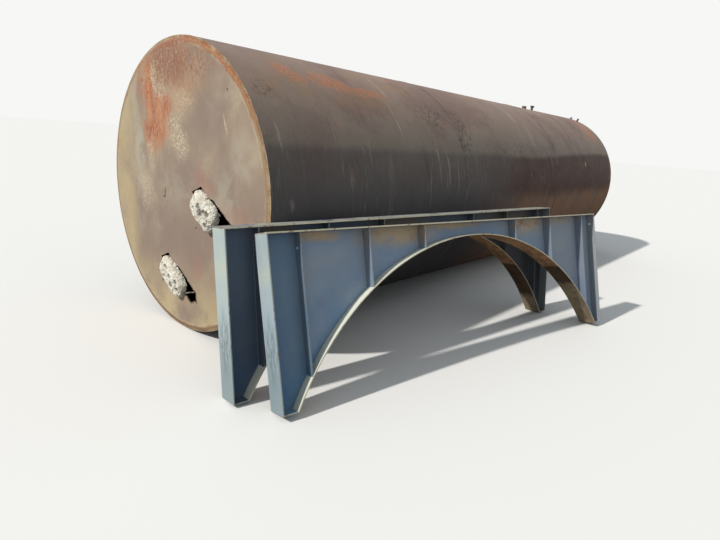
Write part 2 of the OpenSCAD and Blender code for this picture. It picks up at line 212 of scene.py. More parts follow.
# %% [markdown]
# The second layer makes patterns. Dirt and rust are never even, so a blot is an
# ellipsoid whose coordinates have been shaken by noise, which tears its edge,
# and a patch is what stays of a noise cloud above a threshold.


# %% Patterns
class Patterns(Sums):
    """Clouds, patches, specks and blots on the object's own coordinates."""

    def cloud(self, scale, detail=6.0, rough=0.6, bend=0.0, vector=None):
        """Soft random values about one half."""
        inputs = {"Scale": scale, "Detail": detail, "Roughness": rough, "Distortion": bend}
        inputs["Vector"] = vector or self.here
        return self.add("ShaderNodeTexNoise", (), inputs).outputs[0]

    def patches(self, start, end, *cloud, vector=None):
        """1 where a cloud is above end, 0 where it is below start."""
        return self.step(self.cloud(*cloud, vector=vector), start, end)

    def streaks(self, size, *cloud, vector=None):
        """A cloud that runs in streaks, as size stretches its coordinates."""
        return self.cloud(1.0, *cloud, vector=self.stretched(size, vector))

    def cells(self, scale):
        """Distance to scattered points, for specks."""
        inputs = {"Vector": self.here, "Scale": scale}
        return self.add("ShaderNodeTexVoronoi", (), inputs).outputs["Distance"]

    def shaken(self, amount, scale, vector=None):
        """Coordinates shaken by noise, which gives a blot a ragged edge."""
        vector = vector or self.here
        inputs = {"Vector": vector, "Scale": scale, "Detail": 5.0, "Roughness": 0.65}
        shake = self.add("ShaderNodeTexNoise", (), inputs).outputs[1]
        swing = self.vector_sum("SUBTRACT", {0: shake, 1: (0.5, 0.5, 0.5)}).outputs[0]
        return self.vector_sum("MULTIPLY_ADD", {0: swing, 1: (amount,) * 3, 2: vector}).outputs[0]

    def blot(self, place, radii, vector=None, soft=0.35, turn=(0, 0, 0)):
        """1 inside an ellipsoid, fading to 0 past its edge."""
        distance = self.length(self.moved(place, turn, radii, vector))
        return self.step(distance, 1.0 + soft, 1.0 - soft)


print("patterns ready:", [name for name in vars(Patterns) if not name.startswith("_")])

# %% [markdown]
# The third layer works as a model painter does. It keeps one colour, lays thin
# coats over it where a mask allows, mottles it, and joins it to the shader at
# the end, with a relief for dents and flakes.


# %% Coats of paint
class Finish(Patterns):
    """One material, built up coat by coat."""

    def __init__(self, name, rough=0.7, sheen=0.3):
        super().__init__(name)
        self.shader = self.tree.nodes["Principled BSDF"]
        self.shader.inputs["Roughness"].default_value = rough
        self.shader.inputs["Specular IOR Level"].default_value = sheen
        self.colour = None

    def wash(self, amount, under, over):
        """The colour over laid on the colour under, by amount."""
        inputs = {0: amount, 6: under, 7: over}
        return self.add("ShaderNodeMix", {"data_type": "RGBA"}, inputs).outputs[2]

    def lay(self, over, *masks):
        """Lays a coat over the present colour where all the masks allow it."""
        self.colour = self.wash(self.times(*masks), self.colour, over)

    def mottle(self, amount, strength):
        """Multiplies the colour by a grey that swings about 1 by strength."""
        grey = self.scaled(self.sum("SUBTRACT", amount, 0.5), strength, 1.0)
        grey = self.add("ShaderNodeCombineColor", (), {0: grey, 1: grey, 2: grey}).outputs[0]
        settings = {"data_type": "RGBA", "blend_type": "MULTIPLY"}
        self.colour = self.add("ShaderNodeMix", settings, {0: 1.0, 6: self.colour, 7: grey}).outputs[2]

    def finish(self, rough=None, heights=(), relief=0.003, strength=0.6):
        """Joins the colour, the roughness and the relief to the shader."""
        self.tree.links.new(self.colour, self.shader.inputs["Base Color"])
        if rough is not None:
            self.tree.links.new(rough, self.shader.inputs["Roughness"])
        if heights:
            total = heights[0]
            for height in heights[1:]:
                total = self.sum("ADD", total, height)
            inputs = {"Strength": strength, "Distance": relief, "Height": total}
            bump = self.add("ShaderNodeBump", (), inputs)
            self.tree.links.new(bump.outputs[0], self.shader.inputs["Normal"])
        print("finish:", self.material.name, "with", len(self.tree.nodes), "nodes")
        return self.material


print("coats ready:", [name for name in vars(Finish) if not name.startswith("_")])

# %% [markdown]
# ## The shell
#
# The shell was painted once. Its top is a lighter dusty tan, partly dust and
# partly painted sunlight, the sides are grey brown and the underside is nearly
# black, partly as painted shade. Rain has drawn streaks round the shell, and
# bare spots have rusted orange. A picture could be wrapped round it, but marks
# placed by their distance along the tank and their angle round it stay sharp at
# any size, and each can be moved by itself.


# %% Point on the shell
def on_shell(place, angle):
    """Point at place along the tank, angle degrees above level on the saddles' side."""
    turn = math.radians(angle)
    return (place, AXIS_Y - TANK_RADIUS * math.cos(turn), AXIS_Z + TANK_RADIUS * math.sin(turn))


print("top of the tank:", tuple(round(v, 3) for v in on_shell(0.0, 90)))

# %% [markdown]
# A blend by height gives the three tones: darker low down, partly as painted
# shade, and lighter at the top, partly dust and partly painted sunlight. The
# height is shaken first, so that they meet in a ragged line. Low on the right
# the old brown shows through.

# %% Shell tones with painted light and shade
SHADED_DARK_SIDE = paint(86, 83, 84)
MIDDLE_SIDE = paint(124, 113, 102)
DUSTY_LIT_TOP = paint(134, 114, 102)
BROWN_STAIN = paint(130, 97, 71)
REDDISH = paint(104, 78, 74)


def shell_tones(f, ragged_along, ragged_height):
    # Dark low and light on top: partly painted shade and painted sunlight, partly dust
    f.colour = f.wash(f.step(ragged_height, 1.05, 1.80), SHADED_DARK_SIDE, MIDDLE_SIDE)
    f.lay(DUSTY_LIT_TOP, f.step(ragged_height, 1.70, 2.25))
    low_right = f.times(f.step(ragged_height, 1.75, 1.15), f.step(ragged_along, -1.2, 1.0))
    f.lay(BROWN_STAIN, low_right, f.scaled(f.patches(0.36, 0.60, 2.2, 8), 0.4, 0.6))
    reddish = f.patches(0.46, 0.60, 1.1, 5, 0.6, 0.3, vector=f.moved((4.1, 0.3, 0.9)))
    f.lay(REDDISH, reddish, f.step(ragged_height, 1.2, 1.6), 0.45)
    f.mottle(f.cloud(1.0, 8, 0.65), 0.55)
    f.mottle(f.cloud(7.0, 8, 0.7, 0.3), 0.28)
    f.mottle(f.cloud(34.0, 5, 0.7), 0.22)


print("coat ready: shell tones")

# %% [markdown]
# A dark band darkens the side that faces the saddles. It is partly soot and old
# coating and partly painted shade, below the line where the light turns away.
# Its upper edge is nearly level. To the left it is blue black and reaches the
# underside, and to the right it is reddish and ends above brown runs.

# %% Soot and painted shade on the shell
LEFT_SOOT_AND_SHADE = paint(58, 58, 62)
RIGHT_SOOT_AND_SHADE = paint(56, 27, 21)
RUN_BROWN = paint(150, 100, 64)


def shell_soot_and_shade(f, along, across, ragged_along, ragged_height):
    _, _, wavy_height = f.split(f.shaken(0.05, 1.5))
    falling_edge = f.scaled(f.step(along, 0.5, 3.5), -0.10, wavy_height)
    below_edge = f.step(falling_edge, 1.72, 1.64)
    rightward = f.step(ragged_along, -1.0, 0.6)
    above_runs = f.step(ragged_height, 1.05, 1.28)
    reaches_down = f.most(above_runs, f.sum("SUBTRACT", 1.0, rightward))
    near_side = f.step(across, AXIS_Y + 0.5, AXIS_Y - 0.3)
    thickness = f.times(f.scaled(rightward, 0.40, 0.46), near_side)
    # The dark band: soot and old coating, and painted shade, on the near side only
    f.lay(f.wash(rightward, LEFT_SOOT_AND_SHADE, RIGHT_SOOT_AND_SHADE), below_edge, reaches_down, thickness)
    runs = f.streaks((9.0, 1.6, 1.6), 7, 0.7, 0.3, vector=f.moved((2.0, 7.0, 3.0)))
    f.lay(RUN_BROWN, f.step(runs, 0.48, 0.64), rightward, f.step(ragged_height, 1.34, 0.95), 0.5)


print("coat ready: soot")

# %% [markdown]
# Rain runs round the shell and not along it, so the streaks are clouds that
# are stretched thin along the axis. Wide pale rings, fine brushed lines and a
# few dark rings lie over each other.

# %% Rain streaks
PALE_STREAK = paint(166, 154, 142)
DARK_RING = paint(64, 56, 54)


def shell_streaks(f, height):
    rings = f.streaks((7.0, 0.9, 0.9), 5, 0.6, 0.5)
    brushed = f.streaks((48.0, 5.0, 5.0), 4, 0.65, 0.4)
    patchy = f.patches(0.42, 0.62, 1.3, 4, vector=f.moved((3.1, 1.7, 0.4)))
    pale_rings = f.times(f.step(rings, 0.60, 0.78), 0.18)
    pale_lines = f.times(f.step(brushed, 0.58, 0.72), patchy, 0.45)
    f.lay(PALE_STREAK, f.most(pale_rings, pale_lines), f.step(height, 0.2, 1.0))
    f.mottle(f.streaks((70.0, 12.0, 12.0), 6, 0.7, 0.3), 0.34)
    dark_rings = f.streaks((13.0, 1.3, 1.3), 5, 0.6, 0.6, vector=f.moved((9.0, 2.0, 5.0)))
    f.lay(DARK_RING, f.step(dark_rings, 0.56, 0.76), 0.45)


print("coat ready: rain streaks")

# %% [markdown]
# Slings and hooks have left pale scratches. Each is given by its place
# along the tank, the angles between which it runs, its half width and how
# strongly it shows. Tan dust lies where the shell turns to the top.

# %% Scratches and dust
PALE_SCRATCHES = [
    (-3.64, 21, 30, 0.010, 0.7),
    (-2.09, 48, 66, 0.022, 0.7),
    (-2.16, 29, 50, 0.012, 0.8),
    (-1.63, 12, 29, 0.009, 0.8),
    (-1.46, 6, 24, 0.013, 0.6),
    (-1.28, 2, 20, 0.010, 0.5),
    (-1.80, 0, 16, 0.016, 0.3),
    (-3.04, 12, 19, 0.008, 0.5),
    (-2.68, 16, 24, 0.008, 0.5),
    (0.66, 47, 66, 0.040, 0.7),
    (0.60, 36, 50, 0.014, 0.7),
    (0.88, 28, 44, 0.050, 0.45),
    (2.62, 34, 50, 0.060, 0.4),
    (1.36, 10, 36, 0.007, 0.6),
    (-2.94, 7, 14, 0.030, 0.35),
    (-3.595, 0, 4, 0.020, 0.5),
]


def shell_scratches(f):
    unsteady = f.shaken(0.05, 5.0)
    scratchy = f.step(f.streaks((60.0, 14.0, 14.0), 5, 0.7), 0.34, 0.62)
    for place, low, high, half_width, strength in PALE_SCRATCHES:
        reach = TANK_RADIUS * math.radians(high - low) / 2
        scratch = f.blot(on_shell(place, (low + high) / 2), (half_width, reach, reach), unsteady, 0.6)
        f.lay(PALE_STREAK, scratch, scratchy, strength)


def shell_dust(f):
    torn = f.shaken(0.3, 4.0)
    dusting = f.blot(on_shell(-1.9, 62), (0.5, 0.2, 0.14), torn, 0.6)
    f.lay(paint(160, 128, 96), dusting, f.patches(0.42, 0.6, 5.0, 6), 0.5)
    tanned = f.most(
        f.blot(on_shell(-3.40, 48), (0.42, 0.16, 0.15), torn, 0.7),
        f.blot(on_shell(-2.52, 45), (0.50, 0.12, 0.12), torn, 0.7),
    )
    f.lay(paint(142, 116, 88), tanned, f.patches(0.36, 0.58, 6.0, 8, 0.7), 0.45)


print("scratches:", len(PALE_SCRATCHES))

# %% [markdown]
# Where something has rubbed along the plate, the paint is broken by dark
# blotches. Light specks of dried mud sit in loose groups. Both are blots with a
# finer pattern inside.

# %% Scuffs and specks
SCUFFED = paint(58, 44, 42)
DRIED_MUD = paint(176, 162, 140)
MUDDY_PLACES = [
    (on_shell(-0.95, 14), (0.30, 0.3, 0.26)),
    (on_shell(-0.2, 23), (0.5, 0.1, 0.08)),
    (on_shell(0.6, 2), (0.6, 0.3, 0.26)),
    (on_shell(0.5, 10), (0.5, 0.3, 0.12)),
    (on_shell(2.2, -13), (0.6, 0.3, 0.14)),
]


def shell_scuffs(f, ragged):
    scuffed = f.most(
        f.blot(on_shell(-1.50, 42), (0.24, 0.13, 0.13), ragged, 0.5),
        f.blot(on_shell(-1.02, 34), (0.16, 0.26, 0.26), ragged, 0.5),
        f.times(f.blot(on_shell(-3.61, 44), (0.10, 0.09, 0.08), f.shaken(0.12, 6.0), 0.6), 0.7),
        f.times(f.blot(on_shell(0.4, 26), (0.9, 0.1, 0.1), ragged, 0.5), 0.6),
    )
    f.lay(SCUFFED, scuffed, f.patches(0.48, 0.60, 24.0, 8, 0.72, 0.3), 0.75)


def shell_specks(f, ragged):
    specks = f.step(f.cells(38.0), 0.20, 0.12)
    muddy = f.most(*[f.blot(place, radii, ragged, 0.5) for place, radii in MUDDY_PLACES])
    f.lay(DRIED_MUD, specks, muddy, f.patches(0.5, 0.56, 9.0), 0.7)


print("muddy places:", len(MUDDY_PLACES))

# %% [markdown]
# Rust comes in slanting patches near the top, of gritty orange with brown
# specks, and in a faint halo and freckles elsewhere. Its mask is kept, as rust
# also stands up from the paint in small flakes.

# %% Rust on the shell
ORANGE_RUST = paint(180, 119, 83)
RUST_DUST = paint(154, 116, 92)
DEEP_RUST = paint(92, 58, 46)
RUST_SLANT = math.radians(32)
RUSTY_SPOTS = [
    (on_shell(-3.27, 57.5), (0.09, 0.10, 0.08)),
    (on_shell(-3.18, 53), (0.09, 0.07, 0.07)),
    (on_shell(-2.86, 54.5), (0.15, 0.10, 0.09)),
    (on_shell(-2.73, 53), (0.13, 0.09, 0.08)),
    (on_shell(-2.42, 50.6), (0.28, 0.06, 0.06)),
    (on_shell(3.86, 58), (0.13, 0.30, 0.26)),
    (on_shell(3.84, 52), (0.12, 0.24, 0.22)),
    (on_shell(3.74, 46), (0.09, 0.16, 0.16)),
]


def shell_rust(f, height):
    """Lays the rust and returns where it is."""
    torn = f.shaken(0.13, 11.0)
    slanting = f.moved((0, 0, 0), (0, RUST_SLANT, 0))
    grit = f.step(f.streaks((13.0, 34.0, 40.0), 9, 0.75, 0.5, vector=slanting), 0.44, 0.53)
    rust = f.times(f.patches(0.55, 0.72, 3.2, 12, 0.72), f.step(height, 1.2, 2.2), 0.35)
    for place, radii in RUSTY_SPOTS:
        spot = f.blot(place, radii, torn, 0.55)
        f.lay(RUST_DUST, spot, 0.32)
        rust = f.most(rust, f.times(spot, grit))
    f.lay(ORANGE_RUST, rust, 0.9)
    f.lay(DEEP_RUST, rust, f.patches(0.48, 0.62, 60.0, 5), 0.6)
    freckles = f.times(f.patches(0.66, 0.72, 42.0, 6, 0.7), f.patches(0.45, 0.6, 1.9, 4))
    f.lay(DEEP_RUST, freckles, 0.7)
    return f.most(rust, freckles)


print("rusty spots:", len(RUSTY_SPOTS))

# %% [markdown]
# The last marks are at the ends: the far rim is stained, a small yellow daub
# marks the far course, and the cut edge round the near head shows bare plate.

# %% Ends of the shell
STAINED_RIM = paint(112, 92, 62)
RUSTY_RIM = paint(134, 80, 54)
YELLOW_DAUB = paint(222, 190, 74)
BARE_EDGE = paint(186, 168, 140)
BROWN_EDGE = paint(142, 112, 84)


def shell_far_rim(f, along, height, ragged):
    far_rim = f.step(f.scaled(f.cloud(3.0, 6), 0.5, along), 4.18, 4.46)
    f.lay(STAINED_RIM, far_rim, f.step(height, 1.5, 0.9), 0.6)
    middle_height = f.blot((RIGHT_FACE, 0, 1.28), (0.5, 9, 0.34), ragged, 0.5)
    f.lay(RUSTY_RIM, far_rim, middle_height, f.patches(0.40, 0.58, 9.0, 6), 0.8)


def shell_daub_and_edge(f, along):
    f.lay(YELLOW_DAUB, f.blot(on_shell(2.827, 18.5), (0.016, 0.03, 0.045), f.shaken(0.02, 30.0), 0.3))
    edge_face = LEFT_FACE + SHELL_SETBACK
    edge_paint = f.wash(f.patches(0.42, 0.60, 9.0, 6), BARE_EDGE, BROWN_EDGE)
    f.lay(edge_paint, f.step(along, edge_face + 0.004, edge_face + 0.001))


print("near edge of the shell at", round(LEFT_FACE + SHELL_SETBACK, 3))

# %% [markdown]
# The coats go on in the order in which the weather laid them. The surface
# itself is slightly dented, with a fine grain, and the rust flakes.


# %% Shell finish
def shell_finish():
    f = Finish("weathered shell paint", rough=0.62, sheen=0.24)
    along, across, height = f.split()
    ragged = f.shaken(0.22, 2.6)
    ragged_along, _, ragged_height = f.split(ragged)
    shell_tones(f, ragged_along, ragged_height)
    shell_soot_and_shade(f, along, across, ragged_along, ragged_height)
    shell_streaks(f, height)
    shell_scratches(f)
    shell_dust(f)
    shell_scuffs(f, ragged)
    rust = shell_rust(f, height)
    shell_far_rim(f, along, height, ragged)
    shell_specks(f, ragged)
    shell_daub_and_edge(f, along)
    rough = f.scaled(f.cloud(5.0, 6), 0.30, 0.48)
    dents = f.times(f.cloud(0.7, 2), 6.0)
    grain = f.times(f.cloud(120.0, 4, 0.7), 0.35)
    flakes = f.times(rust, f.cloud(48.0, 4), 1.1)
    return f.finish(rough, [dents, grain, flakes], 0.0016, 0.7)


shell_paint = shell_finish()

# %% [markdown]
# ## The heads
#
# The left head is a flat plate with a small round knuckle. Its primer has
# turned to a warm grey tan, yellower at the bottom and down the left side. The
# right head gets the same primer without the marks, as the photo hides it.

# %% Primer on the heads
PRIMER = paint(168, 150, 130)
PRIMER_SMUDGE = paint(146, 128, 114)
PRIMER_PALE = paint(184, 172, 148)
YELLOWED = paint(192, 174, 134)


def head_primer(f, across, height):
    f.colour = f.wash(f.patches(0.32, 0.58, 1.25, 5, 0.55, 0.5), PRIMER, PRIMER_SMUDGE)
    f.lay(PRIMER_PALE, f.patches(0.50, 0.70, 1.9, 6, 0.6, 0.4, vector=f.moved((2, 5, 1))), 0.55)
    f.mottle(f.cloud(6.0, 8, 0.7, 0.3), 0.20)
    f.mottle(f.cloud(40.0, 5, 0.7), 0.10)
    f.mottle(f.streaks((4.0, 20.0, 2.0), 6, 0.65, 0.3), 0.12)
    left_side = f.times(f.step(across, 1.36, 1.62), 0.8)
    yellowed = f.most(f.step(height, 0.70, 0.10), left_side)
    f.lay(YELLOWED, yellowed, f.patches(0.30, 0.58, 2.4, 6), 0.75)


print("coat ready: head primer")

# %% [markdown]
# The knuckle turns away from the plate, so rain stays on it and it rusts
# first. The mask is the distance from the axis, a little shaken. The upper
# part on the saddles' side is rusty and lets rust seep on to the flat, and
# lower down the rim is only tan.

# %% Knuckle and rim
KNUCKLE_BROWN = paint(142, 112, 88)
KNUCKLE_TAN = paint(172, 152, 120)
KNUCKLE_RUST = paint(142, 94, 68)
SEEPING_RUST = paint(176, 122, 78)


def head_rim(f, across, height, fine_grain):
    """Lays the rim's coats and returns where it is rusty."""
    flat_to_axis = f.stretched((0, 1, 1), f.moved((0, AXIS_Y, AXIS_Z)))
    from_axis = f.length(flat_to_axis)
    edge = f.step(f.scaled(f.cloud(7.0, 6, 0.7), 0.05, from_axis), 1.187, 1.202)
    spots = f.patches(0.40, 0.56, 8.0, 8, 0.75, 0.4)
    near_top = f.times(f.step(height, 1.66, 2.00), f.step(across, 0.75, 0.50))
    tan_side = f.times(f.step(height, 2.00, 1.70), f.step(across, 0.60, 0.30))
    f.lay(KNUCKLE_BROWN, edge, 0.75)
    f.lay(KNUCKLE_TAN, edge, tan_side, 0.65)
    f.lay(KNUCKLE_RUST, edge, spots, f.most(near_top, 0.30))
    seeping = f.step(f.scaled(f.cloud(11.0, 7, 0.75, 0.4), 0.11, from_axis), 1.205, 1.225)
    f.lay(SEEPING_RUST, seeping, near_top, f.step(fine_grain, 0.44, 0.56), 0.8)
    glint = f.times(f.step(from_axis, 1.150, 1.163), f.step(from_axis, 1.179, 1.172))
    f.lay(PRIMER_PALE, glint, f.patches(0.4, 0.55, 6.0, 5), 0.55)
    return f.times(edge, spots, 0.6)


print("coat ready: knuckle and rim")

# %% [markdown]
# Soft clouds of pale dust, dark smudges and pink primer lie on the flat. Each is
# a blot with its place across and up the head, its two radii and its strength.

# %% Soft blots on the left head
PALE_DUST = paint(176, 170, 152)
DARK_SMUDGE = paint(136, 120, 112)
PINK_PRIMER = paint(170, 118, 102)
PALE_BLOTS = [
    ((1.42, 1.62), (0.05, 0.30), 0.8),
    ((1.43, 1.96), (0.04, 0.16), 0.7),
    ((-0.20, 1.55), (0.14, 0.16), 0.45),
    ((1.34, 1.56), (0.05, 0.18), 0.8),
    ((1.40, 1.10), (0.10, 0.30), 0.5),
    ((0.02, 1.20), (0.16, 0.26), 0.5),
    ((0.70, 1.25), (0.30, 0.16), 0.4),
]
DARK_BLOTS = [
    ((0.46, 0.80), (0.16, 0.18), 0.45),
    ((0.27, 1.84), (0.22, 0.20), 0.50),
    ((0.95, 0.90), (0.26, 0.26), 0.40),
    ((0.60, 1.36), (0.24, 0.12), 0.35),
    ((1.33, 2.02), (0.05, 0.16), 0.50),
]
PINK_BLOTS = [
    ((0.37, 1.37), (0.08, 0.09), 0.35),
    ((0.26, 1.29), (0.08, 0.06), 0.25),
    ((-0.12, 1.12), (0.18, 0.08), 0.25),
    ((0.43, 0.62), (0.08, 0.12), 0.25),
]


def head_blot(f, place, radii, torn, soft, turn=(0, 0, 0)):
    """A blot on the left head, from its place across and up it."""
    return f.blot((LEFT_FACE, *place), (1, *radii), torn, soft, turn)


def head_soft_blots(f, torn):
    mottled = f.patches(0.36, 0.58, 4.5, 8, 0.65, 0.4)
    gently_torn = f.shaken(0.15, 4.0)
    widely_torn = f.shaken(0.3, 2.5)
    for place, radii, strength in PALE_BLOTS:
        f.lay(PALE_DUST, head_blot(f, place, radii, gently_torn, 0.7), mottled, strength)
    for place, radii, strength in DARK_BLOTS:
        f.lay(DARK_SMUDGE, head_blot(f, place, radii, widely_torn, 0.7), strength)
    for place, radii, strength in PINK_BLOTS:
        f.lay(PINK_PRIMER, head_blot(f, place, radii, torn, 0.7), strength)


print("soft blots:", len(PALE_BLOTS) + len(DARK_BLOTS) + len(PINK_BLOTS))

# %% [markdown]
# A flaking red band crosses the top of the head. Its flakes come from a cloud
# that is stretched to fall like rain, and each part of the band has its own
# threshold, so that it breaks up towards the right and downwards.

# %% Red band on the left head
HEAD_TAN = paint(180, 150, 116)
HEAD_RED = paint(148, 98, 78)
CROWN_RED = paint(158, 100, 78)


def head_red_band(f, torn, flake_grain):
    """Lays the band and returns where it is thick."""
    band = f.times(head_blot(f, (0.86, 2.25), (0.34, 0.18), torn, 0.5), f.step(flake_grain, 0.43, 0.51))
    corner = f.times(head_blot(f, (0.52, 2.22), (0.34, 0.14), torn, 0.6), f.step(flake_grain, 0.50, 0.57))
    lower = f.times(head_blot(f, (0.99, 2.06), (0.14, 0.16), torn, 0.6), f.step(flake_grain, 0.46, 0.56))
    mottled = f.patches(0.36, 0.58, 4.5, 8, 0.65, 0.4)
    f.lay(HEAD_TAN, head_blot(f, (0.74, 2.22), (0.42, 0.20), torn, 0.8), mottled, 0.6)
    f.lay(HEAD_RED, f.most(band, corner, f.times(lower, 0.8)), 0.84)
    crown = head_blot(f, (0.78, 2.41), (0.46, 0.05), f.shaken(0.13, 13.0), 0.5)
    f.lay(CROWN_RED, crown, f.step(flake_grain, 0.40, 0.56), 0.8)
    return band


print("coat ready: red band")

# %% [markdown]
# The strongest mark is a tall orange blot that runs down near the left edge.
# It is the union of five blots: two make the body, one the narrow neck above
# it, one a run to the left and one the fading foot. Burnt and bright specks
# break its colour.

# %% Orange run on the left head
HEAD_ORANGE = paint(190, 138, 104)
HEAD_SALMON = paint(168, 116, 92)
BURNT_ORANGE = paint(152, 82, 50)
BRIGHT_ORANGE = paint(196, 112, 60)


def head_orange_run(f, torn, flake_grain):
    """Lays the orange run and returns where it is."""
    body = head_blot(f, (1.00, 1.86), (0.21, 0.15), torn, 0.3)
    lower_body = head_blot(f, (1.07, 1.71), (0.22, 0.14), torn, 0.4)
    neck = head_blot(f, (1.18, 2.08), (0.07, 0.20), torn, 0.4)
    left_run = head_blot(f, (1.33, 2.14), (0.06, 0.18), torn, 0.5)
    left_run = f.times(left_run, f.step(flake_grain, 0.44, 0.58))
    foot = f.times(head_blot(f, (1.12, 1.60), (0.10, 0.10), torn, 0.5), 0.7)
    run = f.times(f.most(body, lower_body, neck, left_run, foot), f.patches(0.24, 0.44, 9.0, 8, 0.7))
    salmon_streaks = f.step(f.streaks((9.0, 13.0, 5.0), 7, 0.7, 0.4), 0.40, 0.62)
    f.lay(f.wash(salmon_streaks, HEAD_ORANGE, HEAD_SALMON), run, 0.92)
    burnt = f.times(f.step(flake_grain, 0.48, 0.57), f.patches(0.40, 0.56, 3.5, 5))
    f.lay(BURNT_ORANGE, run, burnt, 0.75)
    f.lay(BRIGHT_ORANGE, f.most(neck, left_run), f.patches(0.50, 0.60, 26.0, 6, 0.7), 0.6)
    return run


print("coat ready: orange run")

# %% [markdown]
# Cream flakes of an older coat cling beside the orange run, and a few small
# dark nicks and one pale scuff mark the plate.

# %% Flakes and nicks on the left head
WARM_FLAKE = paint(190, 146, 104)
CREAM_FLAKE = paint(210, 198, 170)
NICK_BROWN = paint(74, 60, 50)
SCUFF_CREAM = paint(204, 186, 152)
SCUFF_TURN = math.radians(-20)
CREAM_BLOTS = [
    ((1.075, 2.11), (0.05, 0.13), 0.9),
    ((0.95, 2.03), (0.07, 0.07), 0.8),
    ((0.74, 1.72), (0.11, 0.12), 0.9),
    ((0.66, 1.60), (0.11, 0.10), 1.0),
    ((1.16, 1.50), (0.06, 0.14), 0.7),
    ((1.28, 1.16), (0.12, 0.16), 0.6),
    ((0.60, 1.95), (0.14, 0.10), 0.5),
]
NICKS = [
    ((0.935, 1.185), (0.008, 0.036)),
    ((0.95, 1.148), (0.020, 0.008)),
    ((1.021, 0.362), (0.012, 0.014)),
    ((-0.002, 2.035), (0.008, 0.009)),
    ((0.44, 0.95), (0.010, 0.010)),
]


def head_flakes(f, torn, fine_grain):
    warm = head_blot(f, (0.62, 2.00), (0.18, 0.13), torn, 0.7)
    f.lay(WARM_FLAKE, warm, f.step(fine_grain, 0.42, 0.56), 0.6)
    flaky = f.step(fine_grain, 0.48, 0.56)
    for place, radii, strength in CREAM_BLOTS:
        f.lay(CREAM_FLAKE, head_blot(f, place, radii, torn, 0.6), flaky, strength)


def head_nicks(f, fine_grain):
    barely_torn = f.shaken(0.012, 20.0)
    for place, radii in NICKS:
        f.lay(NICK_BROWN, head_blot(f, place, radii, barely_torn, 0.3), 0.85)
    scuff = head_blot(f, (0.02, 1.784), (0.012, 0.07), f.shaken(0.05, 12.0), 0.5, (SCUFF_TURN, 0, 0))
    f.lay(SCUFF_CREAM, scuff, f.step(fine_grain, 0.42, 0.54), 0.8)


print("cream blots:", len(CREAM_BLOTS), "nicks:", len(NICKS))

# %% [markdown]
# Both heads are finished by one function. Only the left one gets the marks,
# and the right one a plain patch of rust. The plate swells a little between
# its welds, and rust stands up in flakes.


# %% Head finish
def right_head_rust(f, torn, flake_grain):
    rust = f.times(f.blot((RIGHT_FACE, 0.2, 1.9), (1, 0.5, 0.4), torn, 0.5), f.step(flake_grain, 0.46, 0.58))
    f.lay(HEAD_ORANGE, rust, 0.8)
    return rust


def head_finish(name, marked):
    f = Finish(name, rough=0.74, sheen=0.22)
    _, across, height = f.split()
    torn = f.shaken(0.17, 6.5)
    flake_grain = f.streaks((40.0, 40.0, 23.0), 9, 0.75, 0.5)
    fine_grain = f.streaks((60.0, 90.0, 60.0), 7, 0.75, 0.3)
    head_primer(f, across, height)
    rust = head_rim(f, across, height, fine_grain)
    if marked:
        head_soft_blots(f, torn)
        band = head_red_band(f, torn, flake_grain)
        run = head_orange_run(f, torn, flake_grain)
        head_flakes(f, torn, fine_grain)
        head_nicks(f, fine_grain)
        rust = f.most(rust, f.times(run, 0.6), band)
    else:
        rust = f.most(rust, right_head_rust(f, torn, flake_grain))
    f.lay(DEEP_RUST, f.patches(0.66, 0.72, 38.0, 6, 0.7), f.patches(0.42, 0.6, 2.2, 4), 0.6)
    rough = f.scaled(f.cloud(6.0, 6), 0.25, 0.58)
    swells = f.times(f.cloud(1.3, 3), 5.0)
    grain = f.times(f.cloud(110.0, 4, 0.7), 0.3)
    return f.finish(rough, [swells, grain, f.times(rust, flake_grain, 1.4)], 0.0018, 0.7)


left_head_paint = head_finish("slotted head primer", True)
right_head_paint = head_finish("right head primer", False)

# %% [markdown]
# ## Welds and fittings
#
# A weld cap holds less paint than plate and rusts first, so it is darker and
# redder, with fine ripples across it. The bead round a head is brown primer,
# rusty where its upper near part is bare. The small fittings on top are dark
# threaded pipe with brown rust in the hollows.


# %% Weld and fitting finishes
def weld_finish(name, base, rust_colour, ripple):
    f = Finish(name, rough=0.7, sheen=0.3)
    f.colour = f.wash(f.patches(0.40, 0.60, 5.0, 8, 0.7), base, rust_colour)
    f.mottle(f.cloud(60.0, 5, 0.7), 0.5)
    rough = f.scaled(f.cloud(20.0, 5), 0.3, 0.5)
    return f.finish(rough, [f.cloud(ripple, 4, 0.6)], 0.0016, 0.8)


def head_weld_finish():
    f = Finish("rusty head weld", rough=0.75, sheen=0.25)
    _, across, height = f.split()
    f.colour = f.wash(f.patches(0.40, 0.60, 6.0, 7, 0.7), paint(166, 146, 116), paint(136, 114, 90))
    near_top = f.times(f.step(height, 1.70, 2.05), f.step(across, 0.95, 0.60))
    rusty = f.most(near_top, 0.20)
    f.lay(paint(142, 86, 56), rusty, f.patches(0.42, 0.56, 9.0, 9, 0.75, 0.4), 0.9)
    f.lay(paint(178, 128, 84), rusty, f.patches(0.50, 0.60, 30.0, 6, 0.7), 0.5)
    f.mottle(f.cloud(60.0, 5, 0.7), 0.4)
    rough = f.scaled(f.cloud(20.0, 5), 0.3, 0.55)
    return f.finish(rough, [f.cloud(110.0, 4, 0.6)], 0.0016, 0.8)


def fitting_finish():
    f = Finish("dark pipe fitting", rough=0.55, sheen=0.5)
    f.colour = f.wash(f.patches(0.48, 0.62, 16.0, 8, 0.7), paint(82, 84, 90), paint(112, 78, 60))
    f.mottle(f.cloud(70.0, 5), 0.4)
    rough = f.scaled(f.cloud(30.0, 5), 0.35, 0.4)
    return f.finish(rough, [f.cloud(150.0, 5, 0.7)], 0.001, 0.7)


head_weld = head_weld_finish()
shell_weld = weld_finish("rusty shell weld", paint(110, 98, 92), paint(84, 62, 54), 90.0)
saddle_weld = weld_finish("painted fillet weld", paint(110, 126, 142), paint(116, 120, 120), 140.0)
fitting_paint = fitting_finish()
